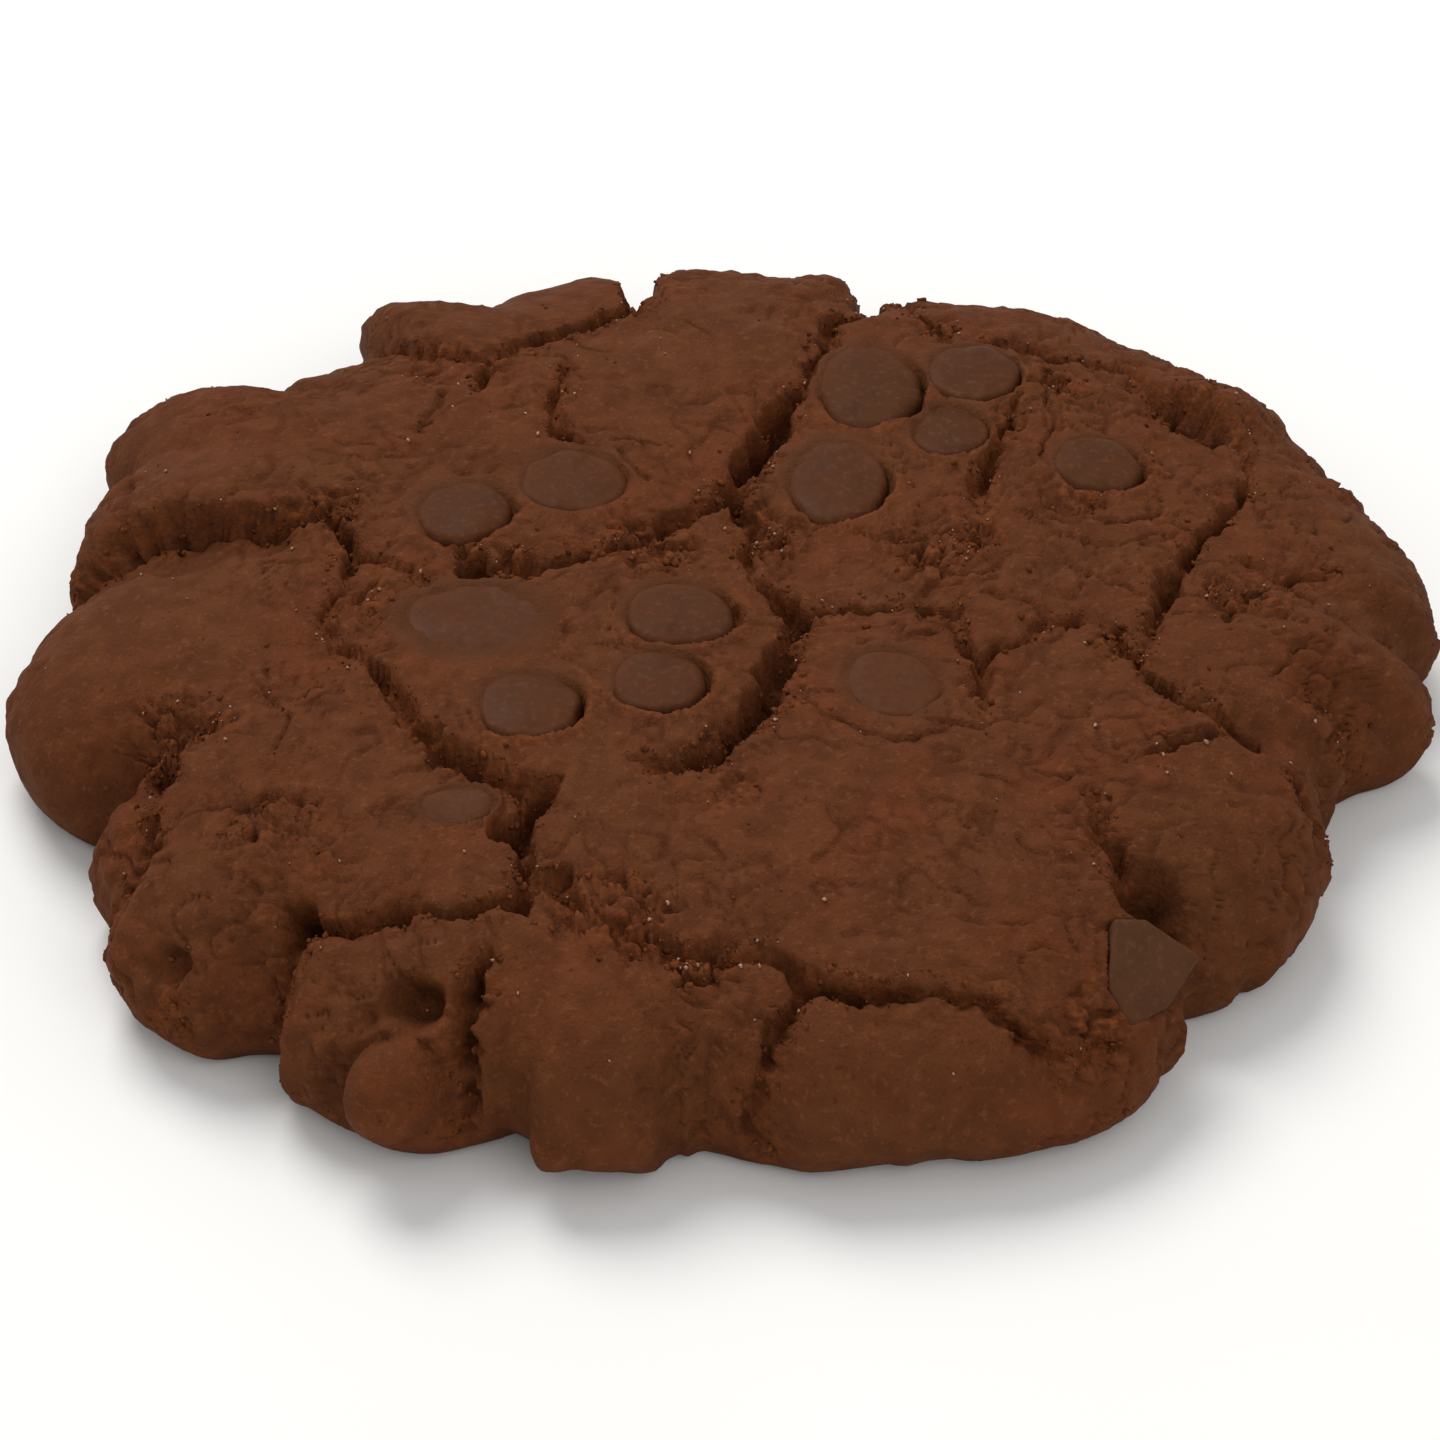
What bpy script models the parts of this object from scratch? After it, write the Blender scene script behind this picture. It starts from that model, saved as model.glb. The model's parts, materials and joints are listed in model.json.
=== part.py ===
"""A double chocolate cookie: a domed, cracked biscuit with chocolate chips set in its top.

Shapes are worked out in millimetres in the cookie's plan, with X to the right, Y away from the
front and Z up, and become metres as each mesh is made. The origin is under the middle of the
cookie, on the surface that it rests on.
"""

import math

import bmesh
import bpy
import numpy as np
from mathutils import Matrix, Vector, noise

MM = 0.001

# Driving sizes, in mm
THICKNESS = 13.6        # table to the top of the dome
WIDEST_HEIGHT = 4.5     # where the side bulges furthest out
UNDERCUT = 0.07         # share of the radius by which the flat base draws in
DOME_FULLNESS = 4.5     # higher is a flatter top with a rounder shoulder
PLAN_CENTRE = (0.3, 4.2)
CORE_SHARE, CORE_HEIGHT = 0.78, 4.0     # the disc inside that relief is pushed away from
CORE_COVER = 0.6        # no hollow goes further than this share of the way to that disc

# The plan is an ellipse whose edge swells into rounded lobes: bearing of each in degrees from +X,
# half width in degrees, and reach from the plan's centre.
PLAN_RADII = (44.6, 41.8)
RIM_LOBES = (
    (9, 12, 46.5), (26, 8, 44.9), (40, 9, 45.2), (53, 12, 43.5), (67, 8, 40.4), (80, 6, 40.8),
    (93, 8, 41.3), (107, 8, 41.4), (121, 5, 44.3), (138, 6, 41.7), (147, 5.5, 47.8),
    (157, 8, 44.8), (169, 7, 43.3), (183, 10, 45.6), (207, 7, 43.4), (218, 8.5, 45.8),
    (239, 9, 44.6), (259, 7.5, 42.4), (281, 12, 42.0), (299, 10, 44.9), (330, 13, 41.9),
    (358, 6.5, 44.8),
)
LOBE_DROP, LOBE_POWER = 2.4, 2.5    # how far a lobe falls back at the ends of its half width
RIM_FLOOR = 38.8
EDGE_POWER = 5.0        # how tightly the lobes keep to the edge of the plan

# Shares of the surface given to the top, the side above and below its widest line, and the base
TOP_SHARE, SHOULDER_SHARE, FLANK_SHARE = 0.62, 0.16, 0.08
SHOULDER_RADIUS = 0.88
SPHERE_DIVISIONS = 7
COOKIE_TRIANGLES_KEPT = 0.105

# Cracks: how much higher the left-hand side stands, then the route as X, Y and the gap's width.
CRACKS = {
    "back_arc": (0.0, (
        (10.0, 44.0, 2.4), (9.6, 38.0, 1.1), (9.0, 34.6, 0.9), (7.2, 33.6, 1.1), (6.5, 29.0, 1.2),
        (5.6, 25.2, 1.4), (4.2, 22.5, 1.6), (3.0, 19.0, 2.2), (1.3, 16.0, 2.0), (0.7, 13.4, 1.7),
        (-2.0, 12.1, 1.5), (-4.0, 9.9, 1.4), (-5.6, 8.3, 1.6), (-8.5, 6.9, 1.4),
        (-12.0, 5.8, 1.5), (-14.6, 5.6, 1.6), (-16.4, 8.2, 0.9), (-17.8, 8.8, 0.4))),
    "back_left_ledge": (1.3, (
        (-18.4, 4.6, 0.6), (-21.2, 7.2, 0.7), (-23.3, 7.8, 1.2), (-24.0, 10.2, 1.6),
        (-25.6, 12.6, 1.5), (-28.5, 12.4, 1.3), (-32.0, 12.9, 1.9), (-34.3, 14.2, 1.8),
        (-36.6, 16.0, 1.4), (-38.4, 19.4, 1.0), (-40.0, 22.5, 0.5))),
    "centre": (0.0, (
        (0.9, 13.2, 1.4), (2.0, 11.0, 1.2), (2.5, 9.0, 0.9), (1.8, 7.6, 0.8), (1.9, 5.2, 0.9),
        (3.6, 3.3, 1.2), (5.1, 1.3, 1.7), (4.5, -1.2, 1.8), (3.6, -3.4, 2.4), (2.9, -6.4, 2.6),
        (1.6, -9.4, 2.2), (-0.9, -12.0, 2.2), (-3.2, -13.0, 1.2), (-5.3, -12.2, 0.6))),
    "centre_right": (0.3, (
        (5.2, 1.4, 1.2), (7.4, 2.3, 0.9), (11.8, 2.1, 0.8), (14.4, 1.6, 0.8), (15.2, -1.0, 1.1),
        (16.2, -3.4, 1.2), (16.0, -7.6, 0.5))),
    "right_zigzag": (-0.4, (
        (16.3, -3.0, 0.9), (18.6, -1.6, 0.9), (20.2, 0.5, 0.8), (22.6, 1.3, 0.9), (24.2, 0.4, 0.8),
        (24.8, -1.8, 1.2), (26.2, -4.2, 1.5), (28.2, -5.8, 1.5), (30.6, -6.8, 1.2),
        (33.0, -8.0, 1.6), (35.2, -10.0, 1.6), (37.4, -12.6, 1.6), (41.0, -14.5, 1.6))),
    "left_diagonal": (0.7, (
        (-23.3, 7.4, 0.7), (-23.6, 4.4, 0.7), (-24.6, 2.0, 0.6), (-24.0, -1.0, 0.8),
        (-22.0, -2.8, 1.1), (-20.0, -5.2, 1.2), (-19.1, -8.6, 1.2), (-16.6, -11.6, 1.6),
        (-13.8, -13.6, 1.8), (-11.0, -15.2, 2.1), (-10.6, -16.8, 1.9), (-12.4, -18.0, 1.7),
        (-11.7, -20.4, 1.3), (-11.2, -22.6, 1.4), (-11.8, -24.6, 2.0), (-14.2, -24.8, 1.8),
        (-17.4, -24.8, 1.4), (-20.4, -25.2, 1.5), (-23.2, -25.0, 1.3), (-25.6, -23.4, 1.8))),
    "left_drop": (0.0, (
        (-25.6, -23.8, 1.4), (-26.4, -27.0, 1.4), (-27.4, -30.0, 1.3), (-29.6, -35.0, 1.6),
        (-31.0, -38.0, 2.0))),
    "front_arc": (0.8, (
        (-11.4, -22.8, 0.9), (-9.4, -23.0, 1.5), (-8.2, -25.8, 0.8), (-4.0, -27.4, 0.9),
        (-0.6, -28.4, 1.0), (3.8, -28.9, 1.2), (5.4, -31.0, 1.5), (10.6, -31.2, 1.4),
        (12.8, -30.6, 1.0), (16.2, -31.6, 0.9), (19.2, -33.5, 1.5), (21.8, -33.2, 1.2),
        (24.2, -32.2, 0.8))),
    "front_branch": (0.0, (
        (5.0, -31.3, 1.1), (3.4, -33.2, 1.2), (2.8, -35.2, 1.5), (0.8, -37.0, 1.4),
        (-1.4, -39.4, 0.8), (-2.4, -42.0, 1.4))),
    "front_block_edge": (0.0, (
        (-13.9, -28.6, 1.0), (-15.2, -30.8, 1.2), (-15.8, -34.0, 1.3), (-15.4, -38.0, 1.4),
        (-14.8, -42.0, 1.6))),
    "right_arc": (-0.5, (
        (12.2, 40.0, 0.9), (12.7, 35.4, 1.1), (14.4, 32.4, 1.1), (15.4, 30.4, 0.8),
        (19.2, 31.0, 0.7), (21.8, 29.8, 1.2), (25.6, 31.6, 0.7), (28.0, 32.6, 1.2),
        (29.4, 30.6, 1.7), (31.6, 29.0, 2.2), (33.4, 27.8, 1.8), (34.4, 24.6, 0.8),
        (34.1, 18.0, 0.8), (33.0, 14.6, 1.0), (31.0, 11.6, 1.2), (29.2, 7.8, 1.5),
        (27.8, 4.4, 1.7), (27.0, 1.2, 1.0), (26.4, -1.0, 0.4))),
    "chip_gap": (0.0, (
        (19.4, 24.6, 0.5), (18.5, 21.4, 0.9), (17.5, 18.2, 1.1), (16.6, 14.8, 1.0),
        (16.7, 11.4, 0.4))),
    "back_hook": (0.0, (
        (-10.5, 27.2, 0.5), (-10.6, 23.0, 1.0), (-10.3, 20.2, 1.2), (-8.9, 18.8, 0.7))),
    "back_plate_edge": (-0.6, (
        (-5.6, 44.0, 2.4), (-6.0, 40.4, 1.2), (-10.0, 39.2, 1.0), (-13.8, 37.8, 1.2),
        (-15.0, 33.4, 1.2), (-15.8, 29.2, 0.9), (-16.2, 26.0, 0.4))),
    "back_plate_side": (-0.4, (
        (-14.4, 36.8, 0.8), (-18.2, 36.8, 1.1), (-20.6, 35.8, 1.2), (-21.4, 32.8, 0.8),
        (-21.0, 30.6, 0.4))),
    "left_hook": (0.4, (
        (-31.2, -6.8, 0.6), (-33.6, -7.6, 1.5), (-35.2, -9.6, 1.8), (-34.7, -13.0, 1.4),
        (-35.6, -17.2, 1.6), (-38.4, -21.0, 1.6))),
    "left_flank": (0.0, (
        (-34.2, -25.4, 0.8), (-32.0, -28.2, 1.7), (-29.6, -31.4, 1.2))),
    "right_cavity": (0.0, (
        (23.0, -15.6, 0.6), (23.2, -18.2, 1.1), (24.2, -20.4, 1.8), (26.0, -22.6, 2.6),
        (28.0, -24.0, 1.8), (29.4, -26.4, 1.2), (31.0, -29.6, 1.4))),
    "right_tick": (0.0, (
        (30.2, -8.8, 1.0), (27.6, -10.4, 0.9), (25.8, -12.2, 0.4))),
    "right_rim": (0.0, (
        (33.0, 8.4, 0.5), (35.6, 7.2, 0.9), (39.2, 9.3, 0.5))),
}
CRACK_WIDEN = 1.2       # the solid's few faces need gaps a little wider than the real ones
SHALLOWEST, DEEPEST = 0.5, 3.6
DEPTH_PER_WIDTH = 1.7
LEDGE_REACH = 5.0
WANDER, WANDER_LENGTH = 0.45, 2.6
SIDE_HEIGHT, TOP_HEIGHT = 6.0, 10.0     # between these a crack calms as it runs down the side
SIDE_DEPTH, SIDE_WANDER = 0.45, 0.1

# Rounded hollows: X, Y, radius and depth
HOLLOWS = (
    (-1.2, -12.2, 1.3, 2.6), (25.6, -22.4, 2.3, 3.2), (-18.6, -31.2, 2.2, 3.0),
    (-13.0, -18.4, 1.3, 2.2), (-35.2, -10.4, 2.3, 1.6), (-25.4, -23.6, 1.4, 1.8),
    (-36.8, 14.2, 4.0, 0.9), (32.8, -7.8, 2.6, 0.9), (-23.4, -34.0, 1.8, 1.2),
    (-15.6, 6.0, 1.3, 1.8), (21.9, 29.6, 1.2, 1.2),
)
# Rounded swellings: X, Y, radius and height
SWELLINGS = (
    (-19.4, -35.4, 3.2, 1.5), (31.0, -15.0, 7.0, 0.6), (35.8, 2.0, 3.8, 0.5),
    (-30.8, -19.4, 4.4, 0.8), (-21.6, -21.6, 4.0, 0.5),
    (-7.6, -33.8, 6.5, 0.6), (13.0, -36.0, 9.0, 0.5), (-38.5, 2.0, 6.5, 0.5),
    (31.0, -27.0, 3.6, 0.8),
)
BROAD_WAVE, BROAD_LENGTH = 0.45, 13.0
CRUMB, CRUMB_LENGTH = 0.16, 3.2

# Chips lie almost level with the crust: X, Y, half length in X, half length in Y
CHIPS = {
    "chip_back_left": (9.6, 25.4, 3.5, 4.7),
    "chip_back_middle": (16.4, 27.0, 3.2, 3.5),
    "chip_back_near": (14.7, 20.4, 2.6, 2.7),
    "chip_back_front": (7.4, 14.9, 3.3, 4.2),
    "chip_back_right": (24.2, 17.2, 3.1, 3.0),
    "chip_far_left": (-16.3, 11.9, 3.3, 3.2),
    "chip_far_middle": (-9.4, 15.0, 3.6, 3.4),
    "chip_melted": (-15.4, 1.0, 4.9, 3.5),
    "chip_centre_upper": (-2.5, 1.5, 3.7, 3.3),
    "chip_centre_lower": (-3.8, -5.2, 3.1, 3.0),
    "chip_centre_left": (-11.8, -7.2, 3.4, 3.4),
    "chip_crack_side": (-15.9, -16.2, 2.6, 1.8),
    "chip_middle_right": (10.6, -5.2, 3.4, 3.4),
}
CHIP_HALF_THICKNESS = 1.2
CHIP_PROUD = 0.25       # how far a chip's top stands above the crust round it
CHIP_SQUARENESS = 0.45  # 1 is an ellipsoid, lower is a flatter disc with a tighter edge
CHIP_SEGMENTS, CHIP_RINGS = 16, 6
SOCKET_GAP = 0.3        # clearance between a chocolate piece and its socket
LIP_HEIGHT, LIP_WIDTH = 0.3, 0.9

# The broken chunk at the right front: where the middle of its flat face is, which way that face
# looks, its outline about its middle, and how far it goes down into the dough.
CHUNK_MIDDLE = (26.1, -26.8, 8.9)
CHUNK_FACING = (0.42, -0.48, 0.77)
CHUNK_OUTLINE = ((-3.1, 2.6), (-0.9, 3.1), (3.1, 1.7), (1.3, -2.0), (-1.1, -4.1), (-3.0, -2.0))
CHUNK_THICKNESS = 3.4
CHUNK_BEVEL = 0.35

DOUGH_COLOUR = (0.115, 0.040, 0.018, 1.0)
CHOCOLATE_COLOUR = (0.090, 0.042, 0.022, 1.0)


def clear_scene():
    for obj in list(bpy.data.objects):
        bpy.data.objects.remove(obj)


def material(name, colour, roughness):
    made = bpy.data.materials.new(name)
    made.use_nodes = True
    shader = made.node_tree.nodes["Principled BSDF"]
    shader.inputs["Base Color"].default_value = colour
    shader.inputs["Roughness"].default_value = roughness
    shader.inputs["Metallic"].default_value = 0.0
    return made


def smooth_step(value):
    held = np.clip(value, 0.0, 1.0)
    return held * held * (3.0 - 2.0 * held)


def noise_at(points, length, seed, octaves=1):
    """Noise from about -1 to 1 at each point, with features of about this length."""
    offset = Vector((seed * 17.3, seed * -9.1, seed * 5.7))
    scaled = points / length
    return np.array([
        noise.fractal(Vector(point) + offset, 1.0, 2.0, octaves, noise_basis="PERLIN_ORIGINAL")
        for point in scaled
    ])


def lobed_radius(bearing):
    """Radius of the widest line at each bearing, in radians from +X: the furthest lobe wins."""
    radius = np.full_like(bearing, RIM_FLOOR)
    for middle, half_width, reach in RIM_LOBES:
        away = np.degrees(bearing) - middle
        away = (away + 180.0) % 360.0 - 180.0
        lobe = reach - LOBE_DROP * np.abs(away / half_width) ** LOBE_POWER
        radius = np.maximum(radius, lobe)
    return radius


def ellipse_radius(bearing):
    along_x, along_y = PLAN_RADII
    return along_x * along_y / np.hypot(along_y * np.cos(bearing), along_x * np.sin(bearing))


def plan_radius(share, bearing):
    """Distance from the plan's centre, with the ellipse inside and the lobes at the edge."""
    ellipse = ellipse_radius(bearing)
    lobes = (lobed_radius(bearing) - ellipse) * np.clip(share, 0.0, 1.0) ** EDGE_POWER
    return share * ellipse + lobes


def dome_height(share):
    """Height of the smooth top at a share of the rim radius."""
    fall = np.clip(share, 0.0, 1.0) ** DOME_FULLNESS
    return WIDEST_HEIGHT + (THICKNESS - WIDEST_HEIGHT) * np.sqrt(1.0 - fall)


def section(area):
    """Radius share and height along the cookie's section, from the top's middle to the base's.

    area is the share of the sphere above the point, so the points stay evenly spaced.
    """
    shoulder_end = TOP_SHARE + SHOULDER_SHARE
    flank_end = shoulder_end + FLANK_SHARE
    rise = THICKNESS - WIDEST_HEIGHT
    shoulder_lift = (dome_height(SHOULDER_RADIUS) - WIDEST_HEIGHT) / rise

    on_top = SHOULDER_RADIUS * np.sqrt(np.clip(area / TOP_SHARE, 0.0, 1.0))
    down = np.clip((area - TOP_SHARE) / SHOULDER_SHARE, 0.0, 1.0)
    lift = shoulder_lift * (1.0 - down)
    on_shoulder = (1.0 - lift ** 2) ** (1.0 / DOME_FULLNESS)
    turn = 0.5 * math.pi * np.clip((area - shoulder_end) / FLANK_SHARE, 0.0, 1.0)
    on_flank = 1.0 - UNDERCUT * (1.0 - np.cos(turn))
    base_left = np.clip((1.0 - area) / (1.0 - flank_end), 0.0, 1.0)
    on_base = (1.0 - UNDERCUT) * np.sqrt(base_left)

    places = [area < TOP_SHARE, area < shoulder_end, area < flank_end]
    share = np.select(places, [on_top, on_shoulder, on_flank], on_base)
    height = np.select(
        places,
        [dome_height(on_top), WIDEST_HEIGHT + rise * lift, WIDEST_HEIGHT * (1.0 - np.sin(turn))],
        0.0,
    )
    return share, height


def smooth_form(directions):
    """The uncracked cookie's surface in each direction of a unit sphere."""
    bearing = np.arctan2(directions[:, 1], directions[:, 0])
    share, height = section(0.5 * (1.0 - directions[:, 2]))
    radius = plan_radius(share, bearing)
    x = PLAN_CENTRE[0] + radius * np.cos(bearing)
    y = PLAN_CENTRE[1] + radius * np.sin(bearing)
    return np.column_stack([x, y, height])


def nearest_on_route(x, y, route):
    """Distance to a crack's line, the gap's half width there, and the side: 1 left, -1 right."""
    distance = np.full_like(x, np.inf)
    half_width = np.zeros_like(x)
    side = np.zeros_like(x)
    for (x0, y0, width0), (x1, y1, width1) in zip(route, route[1:]):
        run_x, run_y = x1 - x0, y1 - y0
        along = ((x - x0) * run_x + (y - y0) * run_y) / (run_x ** 2 + run_y ** 2)
        along = np.clip(along, 0.0, 1.0)
        away = np.hypot(x - x0 - along * run_x, y - y0 - along * run_y)
        closer = away < distance
        distance = np.where(closer, away, distance)
        half_width = np.where(closer, 0.5 * (width0 + along * (width1 - width0)), half_width)
        left = np.sign(run_x * (y - y0) - run_y * (x - x0))
        side = np.where(closer, left, side)
    return distance, half_width, side


def crack_relief(x, y, on_top):
    """How far the cracks cut in, and how far their ledges lift or sink the crust.

    on_top is 1 on the cookie's top and 0 down its side, where a crack is shallower.
    """
    depth = np.zeros_like(x)
    ledge = np.zeros_like(x)
    for rise, route in CRACKS.values():
        distance, half_width, side = nearest_on_route(x, y, route)
        half_width = half_width * CRACK_WIDEN
        floor = np.clip(2.0 * half_width * DEPTH_PER_WIDTH, SHALLOWEST, DEEPEST)
        depth = np.maximum(depth, floor * np.clip(1.0 - (distance / half_width) ** 2, 0.0, 1.0))
        fade = np.exp(-(distance / LEDGE_REACH) ** 2) * smooth_step(half_width - 0.3)
        ledge += 0.5 * rise * side * fade
    return ledge - depth * (SIDE_DEPTH + (1.0 - SIDE_DEPTH) * on_top)


def rounded_relief(x, y):
    relief = np.zeros_like(x)
    for middle_x, middle_y, radius, height in SWELLINGS:
        share = np.hypot(x - middle_x, y - middle_y) / radius
        relief += height * np.sqrt(np.clip(1.0 - share ** 2, 0.0, 1.0))
    for middle_x, middle_y, radius, depth in HOLLOWS:
        share = np.hypot(x - middle_x, y - middle_y) / radius
        relief -= depth * smooth_step(1.6 * (1.0 - share))
    return relief


def lip_relief(x, y):
    """The low ring of crust that rises round each chip."""
    relief = np.zeros_like(x)
    for middle_x, middle_y, half_x, half_y in CHIPS.values():
        share = np.hypot((x - middle_x) / half_x, (y - middle_y) / half_y)
        outside = (share - 1.0) * 0.5 * (half_x + half_y)
        relief = np.maximum(relief, LIP_HEIGHT * np.exp(-(outside / LIP_WIDTH) ** 2))
    return relief


def calm_near_chips(x, y):
    """0 under a chip and 1 away from it, to keep the crust quiet where a socket is cut."""
    calm = np.ones_like(x)
    for middle_x, middle_y, half_x, half_y in CHIPS.values():
        share = np.hypot((x - middle_x) / half_x, (y - middle_y) / half_y)
        calm = np.minimum(calm, smooth_step((share - 0.85) / 0.35))
    return calm


def relief_at(points):
    """Height to add along the surface's normal at each point of the smooth form."""
    x, y, z = points.T
    on_top = smooth_step((z - SIDE_HEIGHT) / (TOP_HEIGHT - SIDE_HEIGHT))
    wander = WANDER * (SIDE_WANDER + (1.0 - SIDE_WANDER) * on_top)
    wander_x = wander * noise_at(points, WANDER_LENGTH, 1)
    wander_y = wander * noise_at(points, WANDER_LENGTH, 2)
    calm = calm_near_chips(x, y)
    crumb = CRUMB * noise_at(points, CRUMB_LENGTH, 3, octaves=2)
    broad = BROAD_WAVE * noise_at(points, BROAD_LENGTH, 4)
    relief = (
        calm * (crack_relief(x + wander_x, y + wander_y, on_top) + crumb)
        + rounded_relief(x, y) + lip_relief(x, y) + broad
    )
    above_base = smooth_step(z / WIDEST_HEIGHT)
    return relief * above_base


def displaced(directions):
    """The cracked surface: the smooth form pushed away from a disc inside it by the relief.

    Straight up over the disc and fanning out round its edge, so the surface never crosses itself.
    """
    smooth = smooth_form(directions)
    bearing = np.arctan2(directions[:, 1], directions[:, 0])
    from_centre = np.hypot(smooth[:, 0] - PLAN_CENTRE[0], smooth[:, 1] - PLAN_CENTRE[1])
    outward = np.clip(from_centre - CORE_SHARE * ellipse_radius(bearing), 0.0, None)
    upward = smooth[:, 2] - CORE_HEIGHT
    reach = np.hypot(outward, upward) + 1e-9
    away = np.column_stack([outward * np.cos(bearing), outward * np.sin(bearing), upward])
    relief = np.maximum(relief_at(smooth), -CORE_COVER * reach)
    return smooth + away * (relief / reach)[:, None]


def dough_mesh():
    bm = bmesh.new()
    bmesh.ops.create_icosphere(bm, subdivisions=SPHERE_DIVISIONS, radius=1.0)
    mesh = bpy.data.meshes.new("cookie")
    bm.to_mesh(mesh)
    bm.free()
    directions = np.empty(len(mesh.vertices) * 3, np.float32)
    mesh.vertices.foreach_get("co", directions)
    directions = directions.reshape(-1, 3).astype(float)
    directions /= np.linalg.norm(directions, axis=1, keepdims=True)
    points = displaced(directions) * MM
    mesh.vertices.foreach_set("co", points.astype(np.float32).ravel())
    mesh.update()
    return mesh


def crust_frame(x, y):
    """A matrix at the crust over this place in plan, in mm, with its Z along the crust's normal."""
    step = 0.5
    here, right, back = (
        crust_height(x + across, y + along)
        for across, along in ((0.0, 0.0), (step, 0.0), (0.0, step))
    )
    normal = Vector((here - right, here - back, step)).normalized()
    turn = Vector((0.0, 0.0, 1.0)).rotation_difference(normal)
    return Matrix.Translation((x, y, here)) @ turn.to_matrix().to_4x4()


def crust_height(x, y):
    """Height of the crust without its cracks and crumb."""
    bearing = math.atan2(y - PLAN_CENTRE[1], x - PLAN_CENTRE[0])
    shares = np.linspace(0.0, 1.0, 400)
    radii = plan_radius(shares, np.full_like(shares, bearing))
    share = np.interp(math.hypot(x - PLAN_CENTRE[0], y - PLAN_CENTRE[1]), radii, shares)
    smooth = np.array([[x, y, dome_height(share)]])
    broad = BROAD_WAVE * noise_at(smooth, BROAD_LENGTH, 4)
    rounded = rounded_relief(smooth[:, 0], smooth[:, 1])
    return float(smooth[0, 2] + broad[0] + rounded[0])


def chip_mesh(name, half_x, half_y, grow):
    """A thin disc with a rounded edge, in mm about its middle, grown all round for a socket."""
    bm = bmesh.new()
    bmesh.ops.create_uvsphere(
        bm, u_segments=CHIP_SEGMENTS, v_segments=CHIP_RINGS, radius=1.0)
    for vertex in bm.verts:
        across = math.hypot(vertex.co.x, vertex.co.y)
        widened = across ** CHIP_SQUARENESS / across if across > 1e-6 else 0.0
        vertex.co.x *= widened * (half_x + grow)
        vertex.co.y *= widened * (half_y + grow)
        vertex.co.z *= CHIP_HALF_THICKNESS + grow
    mesh = bpy.data.meshes.new(name)
    bm.to_mesh(mesh)
    bm.free()
    return mesh


def chunk_mesh(name, grow):
    """The broken chunk: its outline drawn down into the dough and narrowed, with worn edges."""
    bm = bmesh.new()
    reach = 1.0 + grow / min(math.hypot(*corner) for corner in CHUNK_OUTLINE)
    top = [bm.verts.new((x * reach, y * reach, grow)) for x, y in CHUNK_OUTLINE]
    face = bm.faces.new(reversed(top))
    lower = bmesh.ops.extrude_face_region(bm, geom=[face])["geom"]
    for vertex in lower:
        if isinstance(vertex, bmesh.types.BMVert):
            vertex.co.z -= CHUNK_THICKNESS + 2.0 * grow
            vertex.co.xy = vertex.co.xy * 0.75
    bmesh.ops.recalc_face_normals(bm, faces=bm.faces)
    bmesh.ops.bevel(
        bm, geom=bm.edges[:], offset=CHUNK_BEVEL, offset_type="OFFSET", segments=2, profile=0.5,
        affect="EDGES")
    mesh = bpy.data.meshes.new(name)
    bm.to_mesh(mesh)
    bm.free()
    return mesh


def place_object(name, mesh, frame, collection, surface):
    """Bakes a mesh in mm into its place on the crust and links it as an object in metres."""
    mesh.transform(Matrix.Scale(MM, 4) @ frame)
    mesh.shade_smooth()
    obj = bpy.data.objects.new(name, mesh)
    if surface is not None:
        mesh.materials.append(surface)
    collection.objects.link(obj)
    return obj


def add_chocolate(parts, cutters, chocolate):
    """Each chip and the chunk, and for each a slightly larger cutter that makes its socket."""
    for name, (x, y, half_x, half_y) in CHIPS.items():
        sunk = Matrix.Translation((0.0, 0.0, CHIP_PROUD - CHIP_HALF_THICKNESS))
        frame = crust_frame(x, y) @ sunk
        place_object(name, chip_mesh(name, half_x, half_y, 0.0), frame, parts, chocolate)
        cutter = chip_mesh("socket_" + name, half_x, half_y, SOCKET_GAP)
        place_object("socket_" + name, cutter, frame, cutters, None)
    facing = Vector((0.0, 0.0, 1.0)).rotation_difference(Vector(CHUNK_FACING).normalized())
    frame = Matrix.Translation(CHUNK_MIDDLE) @ facing.to_matrix().to_4x4()
    place_object("chunk", chunk_mesh("chunk", 0.0), frame, parts, chocolate)
    place_object("socket_chunk", chunk_mesh("socket_chunk", SOCKET_GAP), frame, cutters, None)


def add_dough(parts, cutters, dough):
    mesh = dough_mesh()
    mesh.materials.append(dough)
    mesh.shade_smooth()
    cookie = bpy.data.objects.new("cookie", mesh)
    parts.objects.link(cookie)
    thin = cookie.modifiers.new("fewer_faces", "DECIMATE")
    thin.decimate_type = "COLLAPSE"
    thin.ratio = COOKIE_TRIANGLES_KEPT
    sockets = cookie.modifiers.new("sockets", "BOOLEAN")
    sockets.operation = "DIFFERENCE"
    sockets.operand_type = "COLLECTION"
    sockets.collection = cutters
    sockets.solver = "EXACT"
    return cookie


def centre_on_origin(cookie):
    """Moves every piece alike, so that the origin is under the middle of the cookie's box."""
    bpy.context.view_layer.update()
    evaluated = cookie.evaluated_get(bpy.context.evaluated_depsgraph_get())
    corners = [Vector(corner) for corner in evaluated.bound_box]
    low = Vector(min(corner[axis] for corner in corners) for axis in range(3))
    high = Vector(max(corner[axis] for corner in corners) for axis in range(3))
    shift = Matrix.Translation((-0.5 * (low.x + high.x), -0.5 * (low.y + high.y), -low.z))
    for mesh in {obj.data for obj in bpy.data.objects if obj.type == "MESH"}:
        mesh.transform(shift)


def new_collection(name):
    made = bpy.data.collections.new(name)
    bpy.context.scene.collection.children.link(made)
    return made


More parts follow.
